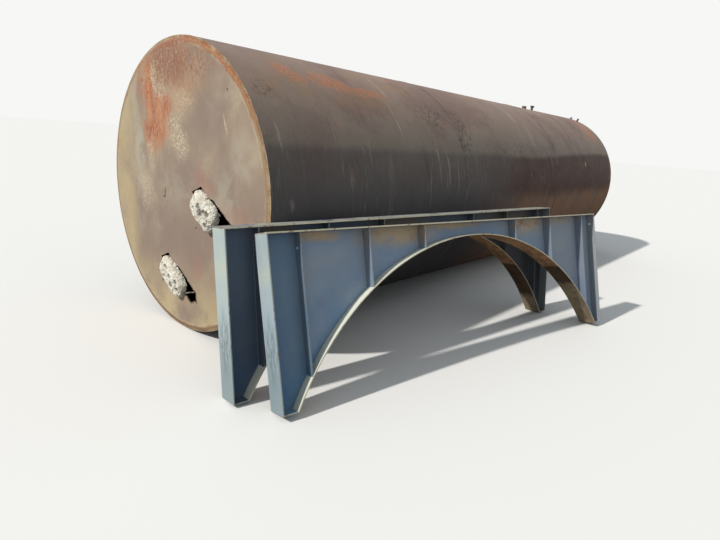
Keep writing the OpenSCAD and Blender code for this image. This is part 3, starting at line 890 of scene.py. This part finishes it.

# %% [markdown]
# ## Saddle paint
#
# The saddles wear a blue grey, whose blue is partly the paint and partly
# painted sky shade. Dust and tan stains gather under the base plate, the lower
# part is painted bluer and darker, partly as painted shade, and the narrow edges
# are worn pale, on the base and arch plates also as painted sunlight. Each
# saddle leans and swings in its own way, so its finish works in a frame that
# leans with it: x along the saddle, y through it and z up to the base plate.

# %% Blue grey paint, partly painted sky shade
BLUE_GREY = paint(134, 154, 178)
DEEP_BLUE_SHADE = paint(94, 134, 174)
DUSTY_GREY = paint(160, 168, 174)


def saddle_frame(f, which):
    """The saddle's own coordinates, from the back corner of its left foot."""
    place, lean, swing = SADDLES[which]
    return f.moved(place, (-lean, 0, -swing))


def saddle_blue(f, own, rise):
    patchy_rise = f.scaled(f.cloud(2.2, 7, 0.6, 0.3, own), 0.6, rise)
    # Bluer and darker low down, partly as painted shade
    f.colour = f.wash(f.step(patchy_rise, 0.45, 1.25), DEEP_BLUE_SHADE, BLUE_GREY)
    f.lay(DUSTY_GREY, f.patches(0.42, 0.62, 1.4, 6, 0.6, 0.3, vector=own), 0.6)
    f.mottle(f.cloud(1.3, 6, 0.6, 0.4, own), 0.40)
    f.mottle(f.cloud(9.0, 7, 0.7, 0.3, own), 0.16)


print("saddle frames:", list(SADDLES))

# %% [markdown]
# Rust water has soaked tan stains into the web where it hangs below the base
# plate. Rusty flecks sit in the stains, and stronger ones towards the right.

# %% Stains on the web
TAN_STAIN = paint(190, 168, 134)
FLECK_RUST = paint(170, 118, 74)

# Each stain: its place along the saddle and up it, and how far it reaches
STAINS = {
    "outer": [
        ((1.12, 1.11), (0.34, 0.09)),
        ((1.60, 1.15), (0.52, 0.040)),
        ((2.76, 1.12), (0.25, 0.10)),
        ((3.33, 1.14), (0.26, 0.060)),
        ((0.42, 1.13), (0.16, 0.04)),
    ],
    "inner": [((0.40, 1.12), (0.16, 0.05)), ((1.60, 1.10), (0.30, 0.05)), ((3.2, 1.05), (0.3, 0.08))],
}


def saddle_stains(f, which, own, along):
    """Lays the stains and returns where they are rusty."""
    torn = f.shaken(0.14, 6.0, own)
    spots = []
    for (place, high), (wide, tall) in STAINS[which]:
        spots.append(f.blot((place, -SADDLE_WIDTH / 2, high), (wide, 0.5, tall), torn, 0.7))
    stain = f.most(*spots)
    f.lay(TAN_STAIN, stain, f.patches(0.24, 0.48, 6.0, 7, 0.65, 0.4, vector=own), 0.9)
    flecks = f.times(stain, f.patches(0.53, 0.62, 14.0, 9, 0.72, 0.3, vector=own))
    stray = f.patches(0.60, 0.67, 13.0, 9, 0.72, 0.3, vector=own)
    stray = f.times(stray, f.patches(0.50, 0.62, 1.8, 4, vector=own))
    rust = f.most(flecks, stray)
    f.lay(FLECK_RUST, rust, f.scaled(f.step(along, 1.8, 2.6), 0.42, 0.42))
    return rust


print("stains:", {which: len(places) for which, places in STAINS.items()})

# %% [markdown]
# The left end plates face the light and are painted nearly white, partly as worn
# paint and partly as painted sunlight. They are yellowish above and a darker
# greenish below, the darker part partly painted shadow, with a patch of brushed
# dirt. The right ones are dull.

# %% Wear and painted light on the end plates
END_PLATE_WEAR_AND_LIGHT = {"outer": paint(176, 190, 192), "inner": paint(188, 200, 194)}
YELLOWISH = paint(206, 208, 176)
GREENISH_SHADE = paint(120, 138, 140)
BRUSHED_DIRT = paint(96, 106, 112)
DULL_END = paint(112, 110, 114)


def end_plate_wear_and_light(f, which, own, along, rise):
    # Paler end plates: worn paint and painted sunlight
    f.lay(END_PLATE_WEAR_AND_LIGHT[which], 0.72)
    f.lay(YELLOWISH, f.patches(0.45, 0.65, 2.6, 5, 0.6, 0.2, vector=own), f.step(rise, 0.5, 1.1), 0.55)
    patchy_rise = f.scaled(f.cloud(5.0, 6, 0.6, 0.2, own), 0.5, rise)
    # Darker greenish lower part: partly painted shadow
    f.lay(GREENISH_SHADE, f.step(patchy_rise, 0.85, 0.35), 0.6)
    brushing = f.step(f.streaks((8, 46, 9), 6, 0.7, 0, vector=own), 0.42, 0.60)
    dirt = f.blot((0, -SADDLE_WIDTH / 2, 0.40), (0.1, 0.07, 0.20), f.shaken(0.08, 12.0, own), 0.6)
    f.lay(BRUSHED_DIRT, dirt, brushing, 0.75)
    f.lay(DULL_END, f.step(along, 3.0, 3.4), 0.55)


print("end plate paints:", len(END_PLATE_WEAR_AND_LIGHT))

# %% [markdown]
# The outer saddle greys to the right, and its first bay is painted a darker
# teal as painted shade. The inner one is painted much darker, as painted
# shade, with dust at its far end. The stiffeners are painted darker than the
# web, as painted shade.

# %% Tone and painted shade by place on the saddles
FAR_GREY = paint(152, 156, 162)
TEAL_BAY_SHADE = paint(64, 102, 126)
STIFFENER_SHADE = paint(62, 68, 82)
INNER_SHADE_BLUE = paint(38, 48, 66)
FAR_DUST = paint(96, 92, 84)


def saddle_tones(f, which, role, along):
    if which == "outer":
        f.lay(FAR_GREY, f.step(along, 2.5, 3.5), 0.55)
        # Darker teal first bay: painted shade
        f.lay(TEAL_BAY_SHADE, f.step(along, 0.30, 0.22), f.step(along, 0.01, 0.02), 0.5)
    if role == "stiffener":
        # Darker stiffeners: painted shade
        f.lay(STIFFENER_SHADE, 0.32)
    if which == "inner" and role != "end plate":
        # Darker inner saddle: painted shade
        f.lay(INNER_SHADE_BLUE, 0.68)
        f.lay(FAR_DUST, f.step(along, 2.3, 3.0), 0.6)


print("coat ready: tones by place")

# %% [markdown]
# The underside of an arch plate is bare. From the crown to the right it is
# rust brown, then nearly black, and pale at the foot. The mask is the distance
# from the arch's centre, as only the underside lies on its radius. The upper
# side is painted cream on the left half, as painted sunlight.

# %% Underside of the arch plates
ARCH_BROWN = paint(132, 104, 78)
ARCH_TAN = paint(196, 156, 112)
ARCH_ORANGE = paint(176, 112, 70)
ARCH_NEAR_BLACK = paint(48, 40, 32)
ARCH_FOOT_PALE = paint(172, 158, 126)
ARCH_FOOT_PALE_DARK = paint(144, 128, 112)
ARCH_SUNLIT_CREAM = paint(218, 218, 200)

# Where along the saddle the rust brown turns nearly black, and the black turns pale
ARCH_CHANGES = {"outer": (3.10, 3.38), "inner": (3.20, 3.62)}


def arch_under_paint(f, which, own, along):
    black_start, pale_start = ARCH_CHANGES[which]
    under = f.wash(f.patches(0.40, 0.58, 7.0, 9, 0.72, 0.3, vector=own), ARCH_BROWN, ARCH_TAN)
    under = f.wash(f.patches(0.50, 0.62, 24.0, 7, 0.7, 0, vector=own), under, ARCH_ORANGE)
    jagged = f.scaled(f.cloud(9.0, 4, vector=own), 0.02, along)
    # The nearly black band along the underside
    scale = f.step(jagged, black_start, black_start + 0.03)
    under = f.wash(f.times(scale, 0.85), under, ARCH_NEAR_BLACK)
    drifting = f.scaled(f.cloud(5.0, 6, 0.6, 0, own), 0.12, along)
    low_end = f.step(drifting, pale_start, pale_start + 0.07)
    pale_foot = f.wash(f.patches(0.40, 0.60, 9.0, 6, 0.65, 0.3, vector=own), ARCH_FOOT_PALE, ARCH_FOOT_PALE_DARK)
    return f.wash(f.times(low_end, 0.9), under, pale_foot)


def arch_plate_wear(f, which, own, along):
    side = f.stretched((1, 0, 1), f.moved((SADDLE_LENGTH / 2, 0, -ARCH_DEPTH), vector=own))
    under = f.step(f.length(side), ARCH_RADIUS + 0.003, ARCH_RADIUS + 0.001)
    # Cream upper side on the left half: painted sunlight
    f.lay(ARCH_SUNLIT_CREAM, f.step(along, 2.3, 1.7), 0.85)
    f.lay(arch_under_paint(f, which, own, along), under)


print("arch changes:", ARCH_CHANGES)

# %% [markdown]
# The base plate lies flat on top, so it collects pale dust and brown spots.
# All narrow edges have lost their paint; on the base plate and the arch plate
# the pale cream edge is partly painted sunlight. The mask for them is the
# distance from the middle of the saddle's width.

# %% Base plate and worn edges
PLATE_DUST = paint(190, 190, 178)
PLATE_BROWN = paint(140, 108, 78)
PLATE_SHADE = paint(74, 80, 86)
WORN_EDGE = paint(178, 180, 168)
CREAM_EDGE_AND_LIGHT = paint(222, 212, 184)
EDGE_RUST = paint(138, 98, 66)
SCUFF_GREY = paint(160, 166, 166)
EDGE_WEAR = 0.0015
STIFFENER_EDGE_WEAR = 0.0075


def base_plate_wear(f, which, own):
    f.lay(PLATE_DUST, f.patches(0.38, 0.54, 6.0, 7, 0.65, 0.2, vector=own), 0.75)
    f.lay(PLATE_BROWN, f.patches(0.52, 0.62, 11.0, 8, 0.7, 0.3, vector=own), 0.7)
    if which == "inner":
        f.lay(PLATE_SHADE, 0.35)


def saddle_edges(f, role, own, through):
    half = SADDLE_WIDTH / 2
    edge_start = half - (STIFFENER_EDGE_WEAR if role == "stiffener" else EDGE_WEAR)
    from_middle = f.sum("ABSOLUTE", f.sum("ADD", through, half))
    edge = f.step(from_middle, edge_start, edge_start + 0.001)
    # Cream edges of the base and arch plates: bare metal and painted sunlight
    edge_paint = CREAM_EDGE_AND_LIGHT if role in ("base plate", "arch plate") else WORN_EDGE
    bare = f.patches(0.26, 0.44, 14.0, 7, 0.7, 0, vector=own)
    f.lay(edge_paint, edge, bare, 0.35 if role == "stiffener" else 0.92)
    f.lay(EDGE_RUST, edge, f.patches(0.54, 0.64, 21.0, 7, 0.7, 0, vector=own), 0.7)
    scuffs = f.step(f.streaks((7.0, 7.0, 26.0), 7, 0.75, 0.8, vector=own), 0.64, 0.74)
    f.lay(SCUFF_GREY, scuffs, f.patches(0.48, 0.64, 1.6, 4, vector=own), 0.4)


print("coats ready: base plate and worn edges")

# %% [markdown]
# One function finishes every part of a saddle. A role says which wear the part
# gets, so that the nine parts of a saddle share six paints.

# %% Saddle finish
ROLES = {
    "web": "web",
    "base_plate": "base plate",
    "arch_plate": "arch plate",
    "left_end_plate": "end plate",
    "right_end_plate": "end plate",
    "left_foot": "foot",
    "right_foot": "foot",
    "front_stiffeners": "stiffener",
    "rear_stiffeners": "stiffener",
}


def saddle_finish(which, role):
    f = Finish(f"{which} saddle {role}", rough=0.58, sheen=0.3)
    own = saddle_frame(f, which)
    along, through, rise = f.split(own)
    saddle_blue(f, own, rise)
    rust = saddle_stains(f, which, own, along)
    if role == "end plate":
        end_plate_wear_and_light(f, which, own, along, rise)
    saddle_tones(f, which, role, along)
    if role == "arch plate":
        arch_plate_wear(f, which, own, along)
    if role == "base plate":
        base_plate_wear(f, which, own)
    saddle_edges(f, role, own, through)
    rough = f.scaled(f.cloud(8.0, 6, vector=own), 0.3, 0.42)
    waves = f.times(f.cloud(1.6, 2, vector=own), 3.0)
    grain = f.times(f.cloud(130.0, 4, 0.7), 0.3)
    return f.finish(rough, [waves, grain, f.times(rust, 0.8)], 0.0014, 0.6)


saddle_paints = {}
for which in SADDLES:
    for role in dict.fromkeys(ROLES.values()):
        saddle_paints[which, role] = saddle_finish(which, role)
print("saddle paints:", len(saddle_paints))

# %% [markdown]
# ## Hand the finishes to the solid pieces
#
# The solids keep their shape and only take a material. The three courses
# share one paint, so that streaks run on across the girth welds. In a saddle
# each role has its own paint, and the two saddles differ, as the outer one
# has stood in the open.


# %% Assign finishes
def dress(node, material):
    piece = nodes[node]
    for place in range(len(piece.material_slots)):
        piece.material_slots[place].material = material
    if not piece.material_slots:
        piece.data.materials.append(material)


for course in ("shell_course_1", "shell_course_2", "shell_course_3"):
    dress(course, shell_paint)
for weld in ("girth_weld_1", "girth_weld_2", "seam_weld_1", "seam_weld_2", "seam_weld_3"):
    dress(weld, shell_weld)
for weld in ("left_head_weld", "right_head_weld"):
    dress(weld, head_weld)
for fitting in ("filling_socket", "vent_pipe", "vent_cap", "short_stub", "tall_stub"):
    dress(fitting, fitting_paint)
dress("left_head", left_head_paint)
dress("right_head", right_head_paint)
for which in SADDLES:
    for part, role in ROLES.items():
        dress(f"{which}_saddle_{part}", saddle_paints[which, role])
print("dressed pieces:", len(nodes))

# %% [markdown]
# ## The crust in the slots
#
# Two slanting slots are cut in the left head, and each is stuffed with a white,
# flaking lump that has set hard. The lumps are placed in the slots' own
# measures: along the slot, across it, and out of the head.

# %% Slot measures
SLOT_SLANT = math.radians(32)
SLOTS = {
    "upper": {"centre": (0.487, -0.072), "length": 0.356, "width": 0.232, "slide": -0.038, "sag": 0.066},
    "lower": {"centre": (-0.063, -0.729), "length": 0.414, "width": 0.222, "slide": -0.011, "sag": 0.062},
}
SLOT_LENGTH = 0.606
SLOT_HALF = 0.075
SLOT_START = SLOT_LENGTH * 0.48
NARROW_STEP = 0.030
NARROW_LENGTH = 0.256
SLOT_SKEW = 0.094
TIP_REACH = 0.068
PLUG_BULGE = 0.064


def at_slot(which, along, across, out):
    """Row point from slot measures: along the slot, across it, and out of the head."""
    side, rise = SLOTS[which]["centre"]
    right_hand = side + along * math.cos(SLOT_SLANT) + across * math.sin(SLOT_SLANT)
    up = rise - along * math.sin(SLOT_SLANT) + across * math.cos(SLOT_SLANT)
    return Vector((LEFT_FACE - out, AXIS_Y - right_hand, AXIS_Z + up))


for which in SLOTS:
    print(which, "slot centre:", tuple(round(v, 3) for v in at_slot(which, 0.0, 0.0, 0.0)))

# %% [markdown]
# The crust is chalky: white on its ridges and grey in its pits and cracks, a
# grey that is partly the crust's own and partly painted shade. How deep a point
# lies is worked out with the shape and stored on the mesh, and the finish reads
# it from there, so colour and form agree.

# %% Crust finish
CRUST_WHITE = paint(229, 224, 212)
CRUST_CREAM = paint(197, 190, 173)
CRUST_GREY_AND_SHADE = paint(166, 164, 156)
PIT_GREY_AND_SHADE = paint(122, 119, 112)
CRUST_STAIN = paint(160, 155, 144)


def crust_finish():
    f = Finish("white crust", rough=0.85, sheen=0.2)
    depth = f.add("ShaderNodeAttribute", {"attribute_name": "pit"}).outputs["Fac"]
    f.colour = f.wash(f.patches(0.40, 0.62, 22.0, 6, 0.65, 0.4), CRUST_WHITE, CRUST_CREAM)
    # Grey in pits and cracks: partly grey crust, partly painted shade
    f.lay(CRUST_GREY_AND_SHADE, f.step(depth, 0.22, 0.60))
    f.lay(PIT_GREY_AND_SHADE, f.step(depth, 0.60, 0.92), 0.75)
    f.lay(CRUST_STAIN, f.patches(0.57, 0.64, 30.0, 7, 0.7, 0.6), 0.6)
    f.mottle(f.cloud(140.0, 4), 0.16)
    return f.finish(None, [f.cloud(170.0, 5, 0.75)], 0.0022, 0.9)


crust = crust_finish()

# %% [markdown]
# Every new piece is handed over in the same way: it takes one material, shades
# smoothly and rides on the standing body. The crusts also replace the plain
# plugs of the solid model.


# %% Hand over a new piece
def link_piece(name, mesh, material, node_slot, *hides):
    """Makes a finished mesh a piece of the object."""
    piece = bpy.data.objects.new(name, mesh)
    bpy.context.scene.collection.objects.link(piece)
    mesh.materials.append(material)
    for face in mesh.polygons:
        face.use_smooth = True
    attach(piece, "root")
    if hides:
        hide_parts(*hides)
    print(name, "faces:", len(mesh.polygons))


# %% [markdown]
# A lump starts as a fine sphere, which has no seam or crowded rows, and is drawn
# out into a rounded bar. Noise then pushes each point in or out: slow swells,
# flat chunks and chips with cracks between them, and a fine grain. A few deep
# pits are listed, each by its place on the lump and its size.

# %% Flakes and pits of the crust
PIT_SPOTS = {
    "upper": [
        (-0.150, 0.035, 0.020),
        (-0.100, -0.040, 0.016),
        (-0.045, 0.020, 0.024),
        (0.005, -0.015, 0.034),
        (0.045, 0.030, 0.018),
        (0.110, -0.050, 0.018),
        (0.085, 0.040, 0.022),
    ],
    "lower": [
        (-0.160, 0.010, 0.018),
        (-0.095, 0.045, 0.020),
        (-0.070, -0.045, 0.015),
        (0.000, 0.010, 0.018),
        (0.060, -0.030, 0.022),
        (0.105, 0.040, 0.020),
        (0.150, -0.010, 0.018),
    ],
}
CRACK_WIDTH = 0.16


def flaking(here):
    """Noise at a point: its swell, chunk, chip, crack and fine grain."""
    distances, centres = noise.voronoi(here * 30.0)
    _, small_centres = noise.voronoi(here * 75.0)
    swell = noise.fractal(here * 11.0, 0.9, 2.0, 3)
    chunk = noise.noise(centres[0] * 9.7)
    chip = noise.noise(small_centres[0] * 9.7)
    crack = max(0.0, CRACK_WIDTH - (distances[1] - distances[0])) / CRACK_WIDTH
    fine = noise.fractal(here * 90.0, 0.8, 2.0, 3)
    return swell, chunk, chip, crack, fine


def pit_at(which, along, across, swell):
    """How far into a pit a point lies, from 0 to 1."""
    deepest = 0.0
    for pit_along, pit_across, pit_size in PIT_SPOTS[which]:
        reach = pit_size * (1.0 + 0.35 * swell)
        off = math.hypot(along - pit_along, across - pit_across) / reach
        deepest = max(deepest, min(1.0, max(0.0, 1.25 - off) * 2.2))
    return deepest


print("pits:", {which: len(spots) for which, spots in PIT_SPOTS.items()})

# %% [markdown]
# The back of a lump is flat. It is sunk a little in the head's face, and deeper
# where it fills the slot, so that no gap shows from the side.

# %% Model the lumps of crust
SQUARENESS = 3.6
CRUST_RISE = 0.074
CRUST_SEEDS = {"upper": Vector((0.37, 0.11, 0.74)), "lower": Vector((1.91, 0.63, 0.28))}
SUNK_IN_FACE = 0.003
SUNK_IN_SLOT = 0.036
SHARE_OF_LENGTH = 0.33
SHARE_OF_WIDTH = 0.62
SLOT_EDGE = -0.070


def crust_back(size, along, across):
    """How far back the lump may go here."""
    beside = SLOT_EDGE < across < size["width"] / 2 * SHARE_OF_WIDTH - size["sag"]
    in_slot = beside and abs(along - size["slide"]) < size["length"] * SHARE_OF_LENGTH
    return -SUNK_IN_SLOT if in_slot else -SUNK_IN_FACE


def crust_point(which, way):
    """Where a point of the unit sphere goes, and how deep it then lies."""
    size = SLOTS[which]
    half_length, half_width = size["length"] / 2, size["width"] / 2
    grow = sum(abs(side) ** SQUARENESS for side in way) ** (-1.0 / SQUARENESS)
    along, across, out = way.x * grow * half_length, way.y * grow * half_width, way.z * grow * CRUST_RISE
    swell, chunk, chip, crack, fine = flaking(Vector((along, across, out)) + CRUST_SEEDS[which])
    pit = pit_at(which, along, across, swell) if out > 0 else 0.0
    push = 0.008 * swell + 0.006 * chunk + 0.0028 * chip - 0.004 * crack + 0.0016 * fine - 0.013 * pit
    outward = Vector((way.x / half_length, way.y / half_width, way.z / CRUST_RISE)).normalized()
    along += outward.x * push + size["slide"]
    across += outward.y * push - size["sag"]
    out = 0.9 * out + outward.z * push - 0.004
    out = min(max(out, crust_back(size, along, across)), PLUG_BULGE - 0.0005)
    depth = 0.85 * pit + 0.30 * crack - 0.30 * chunk - 0.35 * fine - 0.02
    return at_slot(which, along, across, out), min(1.0, max(0.0, depth))


def crust_lump(which):
    lump = bmesh.new()
    bmesh.ops.create_icosphere(lump, subdivisions=7, radius=1.0)
    depths = []
    for vert in lump.verts:
        vert.co, depth = crust_point(which, vert.co.copy())
        depths.append(depth)
    bmesh.ops.recalc_face_normals(lump, faces=lump.faces)
    mesh = bpy.data.meshes.new(f"{which}_crust")
    lump.to_mesh(mesh)
    lump.free()
    mesh.attributes.new("pit", "FLOAT", "POINT").data.foreach_set("value", depths)
    link_piece(f"{which}_crust", mesh, crust, "plug", f"{which}_slot_plug")


for which in SLOTS:
    crust_lump(which)

# %% [markdown]
# ## Beads
#
# A weld bead and the slag along a torch cut are both thin, uneven ropes of
# metal. A curve with a round bevel draws the rope along its path, and then
# each point of its mesh is nudged by noise, which breaks the even tube into
# ripples. Noise that gives a direction starts from the clock unless it has a
# seed, so one is set, and the ripples come out the same in every run.

# %% Bead maker
RIPPLE_SEED = 7
noise.seed_set(RIPPLE_SEED)


def spaced(path, gap, closed=False):
    """Points every gap metres along a path of corners."""
    corners = list(path) + ([path[0]] if closed else [])
    points = []
    for start, end in zip(corners, corners[1:]):
        count = max(1, int((end - start).length / gap))
        points += [start.lerp(end, step / count) for step in range(count)]
    return points if closed else points + [corners[-1]]


def rope_mesh(name, paths, radius, gap, closed, sides):
    """One even rope along every path."""
    curve = bpy.data.curves.new(name, "CURVE")
    curve.dimensions = "3D"
    curve.bevel_depth = radius
    curve.bevel_resolution = sides
    curve.use_fill_caps = True
    for path in paths:
        points = spaced(path, gap, closed)
        spline = curve.splines.new("POLY")
        spline.points.add(len(points) - 1)
        for point, place in zip(spline.points, points):
            point.co = (*place, 1.0)
        spline.use_cyclic_u = closed
    holder = bpy.data.objects.new(name, curve)
    bpy.context.scene.collection.objects.link(holder)
    bpy.context.view_layer.update()
    drawn = holder.evaluated_get(bpy.context.evaluated_depsgraph_get())
    mesh = bpy.data.meshes.new_from_object(drawn)
    bpy.data.objects.remove(holder)
    bpy.data.curves.remove(curve)
    mesh.materials.clear()
    return mesh


def bead_mesh(name, paths, radius, gap, ripple, closed=False, sides=0):
    """One mesh with a rippled rope along every path."""
    mesh = rope_mesh(name, paths, radius, gap, closed, sides)
    rope = bmesh.new()
    rope.from_mesh(mesh)
    bmesh.ops.remove_doubles(rope, verts=rope.verts, dist=1e-6)
    for vert in rope.verts:
        vert.co += Vector(noise.noise_vector(vert.co * (0.8 / gap))) * ripple
    bmesh.ops.recalc_face_normals(rope, faces=rope.faces)
    rope.to_mesh(mesh)
    rope.free()
    return mesh


straight = spaced([Vector((0, 0, 0)), Vector((0.1, 0, 0))], 0.01)
print("points on a bead of 0.1 m:", len(straight))

# %% [markdown]
# The slots were cut by torch, so a rope of slag follows each outline. The
# outline is skewed at one end, steps in along its upper side and ends in a
# blunt tip.

# %% Slag along the slots
SLAG_BROWN = paint(122, 104, 88)
SLAG_PALE = paint(168, 152, 134)
SLAG_RUST = paint(96, 66, 50)


def slot_outline():
    narrow_top = SLOT_HALF - NARROW_STEP
    step_place = NARROW_LENGTH - SLOT_START
    low_end = SLOT_LENGTH - SLOT_START
    return [
        (-SLOT_START, -SLOT_HALF),
        (low_end, -SLOT_HALF),
        (low_end + TIP_REACH * 0.42, -SLOT_HALF * 0.24),
        (low_end + TIP_REACH, 0.0),
        (low_end + TIP_REACH * 0.16, SLOT_HALF * 0.96),
        (step_place + NARROW_STEP * 0.8, SLOT_HALF),
        (step_place, narrow_top + NARROW_STEP * 0.6),
        (step_place - NARROW_STEP, narrow_top),
        (SLOT_SKEW * 1.5 - SLOT_START, narrow_top),
        (SLOT_SKEW - SLOT_START, narrow_top + NARROW_STEP * 0.5),
    ]


def slag_finish():
    f = Finish("slag on the torn slot edge", rough=0.8, sheen=0.25)
    f.colour = f.wash(f.patches(0.42, 0.6, 18.0, 6), SLAG_BROWN, SLAG_PALE)
    f.lay(SLAG_RUST, f.patches(0.52, 0.64, 40.0, 5), 0.7)
    return f.finish(None, [f.cloud(180.0, 5, 0.7)], 0.0015, 0.8)


slag = slag_finish()
for which in SLOTS:
    name = f"{which}_slot_slag"
    path = [at_slot(which, along, across, 0.0) for along, across in slot_outline()]
    mesh = bead_mesh(name, [path], radius=0.0042, gap=0.009, ripple=0.0026, closed=True, sides=1)
    link_piece(name, mesh, slag, "left_head")

# %% [markdown]
# A torn strip of plate hangs across the lower slot, from the crust to the slag
# at the edge. In the upper slot a small curl of cut steel grows out of the
# crust. It is a short spiral that rises as it turns.

# %% Torn strip and curl
STRIP_CORNERS = [(0.196, -0.073), (0.236, -0.020), (0.276, 0.028), (0.306, 0.060)]
STRIP_STAND = 0.004
CURL_CENTRE = (0.128, 0.024)
CURL_RADII = (0.024, 0.020)
CURL_STEPS = 16
CURL_START = 35
CURL_TURN = 20
CURL_STAND = 0.006
CURL_CLIMB = 0.0012

torn_steel = weld_finish("torn grey steel", paint(148, 144, 134), paint(104, 90, 78), 120.0)
strip_path = [at_slot("lower", along, across, STRIP_STAND) for along, across in STRIP_CORNERS]
strip = bead_mesh("lower_slot_strip", [strip_path], radius=0.0062, gap=0.012, ripple=0.0022, sides=1)
link_piece("lower_slot_strip", strip, torn_steel, "left_head")

curl_path = []
for step in range(CURL_STEPS):
    turn = math.radians(CURL_START + CURL_TURN * step)
    along = CURL_CENTRE[0] + CURL_RADII[0] * math.cos(turn)
    across = CURL_CENTRE[1] + CURL_RADII[1] * math.sin(turn)
    curl_path.append(at_slot("upper", along, across, CURL_STAND + CURL_CLIMB * step))
curl = bead_mesh("upper_slot_curl", [curl_path], radius=0.0042, gap=0.006, ripple=0.0010, sides=1)
link_piece("upper_slot_curl", curl, torn_steel, "left_head")

# %% [markdown]
# ## Fillet welds of the saddles
#
# The web is welded to the base plate, the arch plate and the end plates on both
# faces, and each stiffener to the web. The paths are drawn in the saddle's own
# frame and then leaned and swung into place with it.

# %% Saddle welds
ARCH_STEPS = 160
ARCH_END_GAP = 0.002


def saddle_matrix(which):
    place, lean, swing = SADDLES[which]
    return Matrix.Translation(place) @ Matrix.Rotation(-swing, 4, "Z") @ Matrix.Rotation(-lean, 4, "X")


def arch_height(along, radius):
    """Height of a circle about the arch centre, over the feet."""
    run = along - SADDLE_LENGTH / 2
    return math.sqrt(max(0.0, radius**2 - run**2)) - ARCH_DEPTH


def saddle_weld_paths():
    middle = -SADDLE_WIDTH / 2
    top_edge = SADDLE_HEIGHT - BASE_PLATE
    outer = ARCH_RADIUS + PLATE
    reach = math.sqrt(outer**2 - (ARCH_DEPTH + PLATE) ** 2) - ARCH_END_GAP
    arch_start = SADDLE_LENGTH / 2 - reach
    run = [arch_start + 2 * reach * step / ARCH_STEPS for step in range(ARCH_STEPS + 1)]
    paths = []
    for face in (middle - PLATE / 2, middle + PLATE / 2):
        paths.append([Vector((PLATE, face, top_edge)), Vector((SADDLE_LENGTH - PLATE, face, top_edge))])
        paths.append([Vector((along, face, arch_height(along, outer))) for along in run])
        for end in (PLATE, SADDLE_LENGTH - PLATE):
            paths.append([Vector((end, face, PLATE)), Vector((end, face, top_edge))])
        for place in STIFFENERS:
            for corner in (place - PLATE / 2, place + PLATE / 2):
                low = max(PLATE, arch_height(corner, outer))
                paths.append([Vector((corner, face, low)), Vector((corner, face, top_edge))])
    return paths


for which in SADDLES:
    name = f"{which}_saddle_welds"
    leaned = saddle_matrix(which)
    paths = [[leaned @ point for point in path] for path in saddle_weld_paths()]
    mesh = bead_mesh(name, paths, radius=0.0038, gap=0.009, ripple=0.0010)
    link_piece(name, mesh, saddle_weld, "saddle")

# %% [markdown]
# ## Light
#
# A sun-like lamp stands high on the left and a little behind the camera, as the
# daylight does in the photo, and a pale sky fills the rest. The camera, mirror
# reflections and anything seen through glass get a plain backdrop instead.

# %% Lamp and sky
SUN_WAY = Vector((-0.690, 0.250, 0.670))
SUN_STRENGTH = 3.3
SUN_SOFTNESS = math.radians(2)
SUN_COLOUR = (1.0, 0.97, 0.92)
SKY_COLOUR = (0.86, 0.94, 1.0, 1.0)
SKY_STRENGTH = 0.52
BACKDROP_COLOUR = (0.93, 0.93, 0.92, 1.0)


def seen_by(tree, *rays):
    """1 for rays of the named kinds, such as those of the camera, and 0 for others."""
    path = tree.nodes.new("ShaderNodeLightPath")
    seen = path.outputs[rays[0]]
    for ray in rays[1:]:
        either = tree.nodes.new("ShaderNodeMath")
        either.operation = "MAXIMUM"
        tree.links.new(seen, either.inputs[0])
        tree.links.new(path.outputs[ray], either.inputs[1])
        seen = either.outputs[0]
    return seen


lamp = bpy.data.objects.new("key lamp", bpy.data.lights.new("key lamp", "SUN"))
lamp.data.energy = SUN_STRENGTH
lamp.data.angle = SUN_SOFTNESS
lamp.data.color = SUN_COLOUR
lamp.rotation_euler = SUN_WAY.to_track_quat("Z", "Y").to_euler()
bpy.context.scene.collection.objects.link(lamp)

sky = bpy.data.worlds.new("sky")
bpy.context.scene.world = sky
sky.use_nodes = True
air = sky.node_tree
fill = air.nodes["Background"]
fill.inputs["Color"].default_value = SKY_COLOUR
fill.inputs["Strength"].default_value = SKY_STRENGTH
backdrop = air.nodes.new("ShaderNodeBackground")
backdrop.inputs["Color"].default_value = BACKDROP_COLOUR
choice = air.nodes.new("ShaderNodeMixShader")
air.links.new(seen_by(air, "Is Camera Ray", "Is Glossy Ray", "Is Transmission Ray"), choice.inputs[0])
air.links.new(fill.outputs[0], choice.inputs[1])
air.links.new(backdrop.outputs[0], choice.inputs[2])
air.links.new(choice.outputs[0], air.nodes["World Output"].inputs["Surface"])
print("lamp turned by", tuple(round(math.degrees(turn)) for turn in lamp.rotation_euler), "degrees")

# %% [markdown]
# ## Floor
#
# The floor is plain and pale to the eye. To light rays it is a darker grey, so
# that it doesn't throw too much light on the dark underside of the tank. It
# belongs to the stage and not to the object.

# %% Floor
FLOOR_REACH = 150.0
FLOOR_FOR_LIGHT = (0.27, 0.255, 0.24, 1.0)
FLOOR_TO_THE_EYE = (0.78, 0.77, 0.75, 1.0)

sheet = bmesh.new()
bmesh.ops.create_grid(sheet, x_segments=1, y_segments=1, size=FLOOR_REACH)
floor = bpy.data.objects.new("floor", bpy.data.meshes.new("floor"))
sheet.to_mesh(floor.data)
sheet.free()
bpy.context.scene.collection.objects.link(floor)

floor_paint = bpy.data.materials.new("pale floor")
floor_paint.use_nodes = True
tree = floor_paint.node_tree
shader = tree.nodes["Principled BSDF"]
shader.inputs["Roughness"].default_value = 1.0
shader.inputs["Specular IOR Level"].default_value = 0.0
tone = tree.nodes.new("ShaderNodeMix")
tone.data_type = "RGBA"
tone.inputs[6].default_value = FLOOR_FOR_LIGHT
tone.inputs[7].default_value = FLOOR_TO_THE_EYE
tree.links.new(seen_by(tree, "Is Camera Ray", "Is Transmission Ray"), tone.inputs[0])
tree.links.new(tone.outputs[2], shader.inputs["Base Color"])
floor.data.materials.append(floor_paint)
print("floor reaches", FLOOR_REACH, "m")

# %% [markdown]
# The finishes and the small pieces may not make the object bigger.
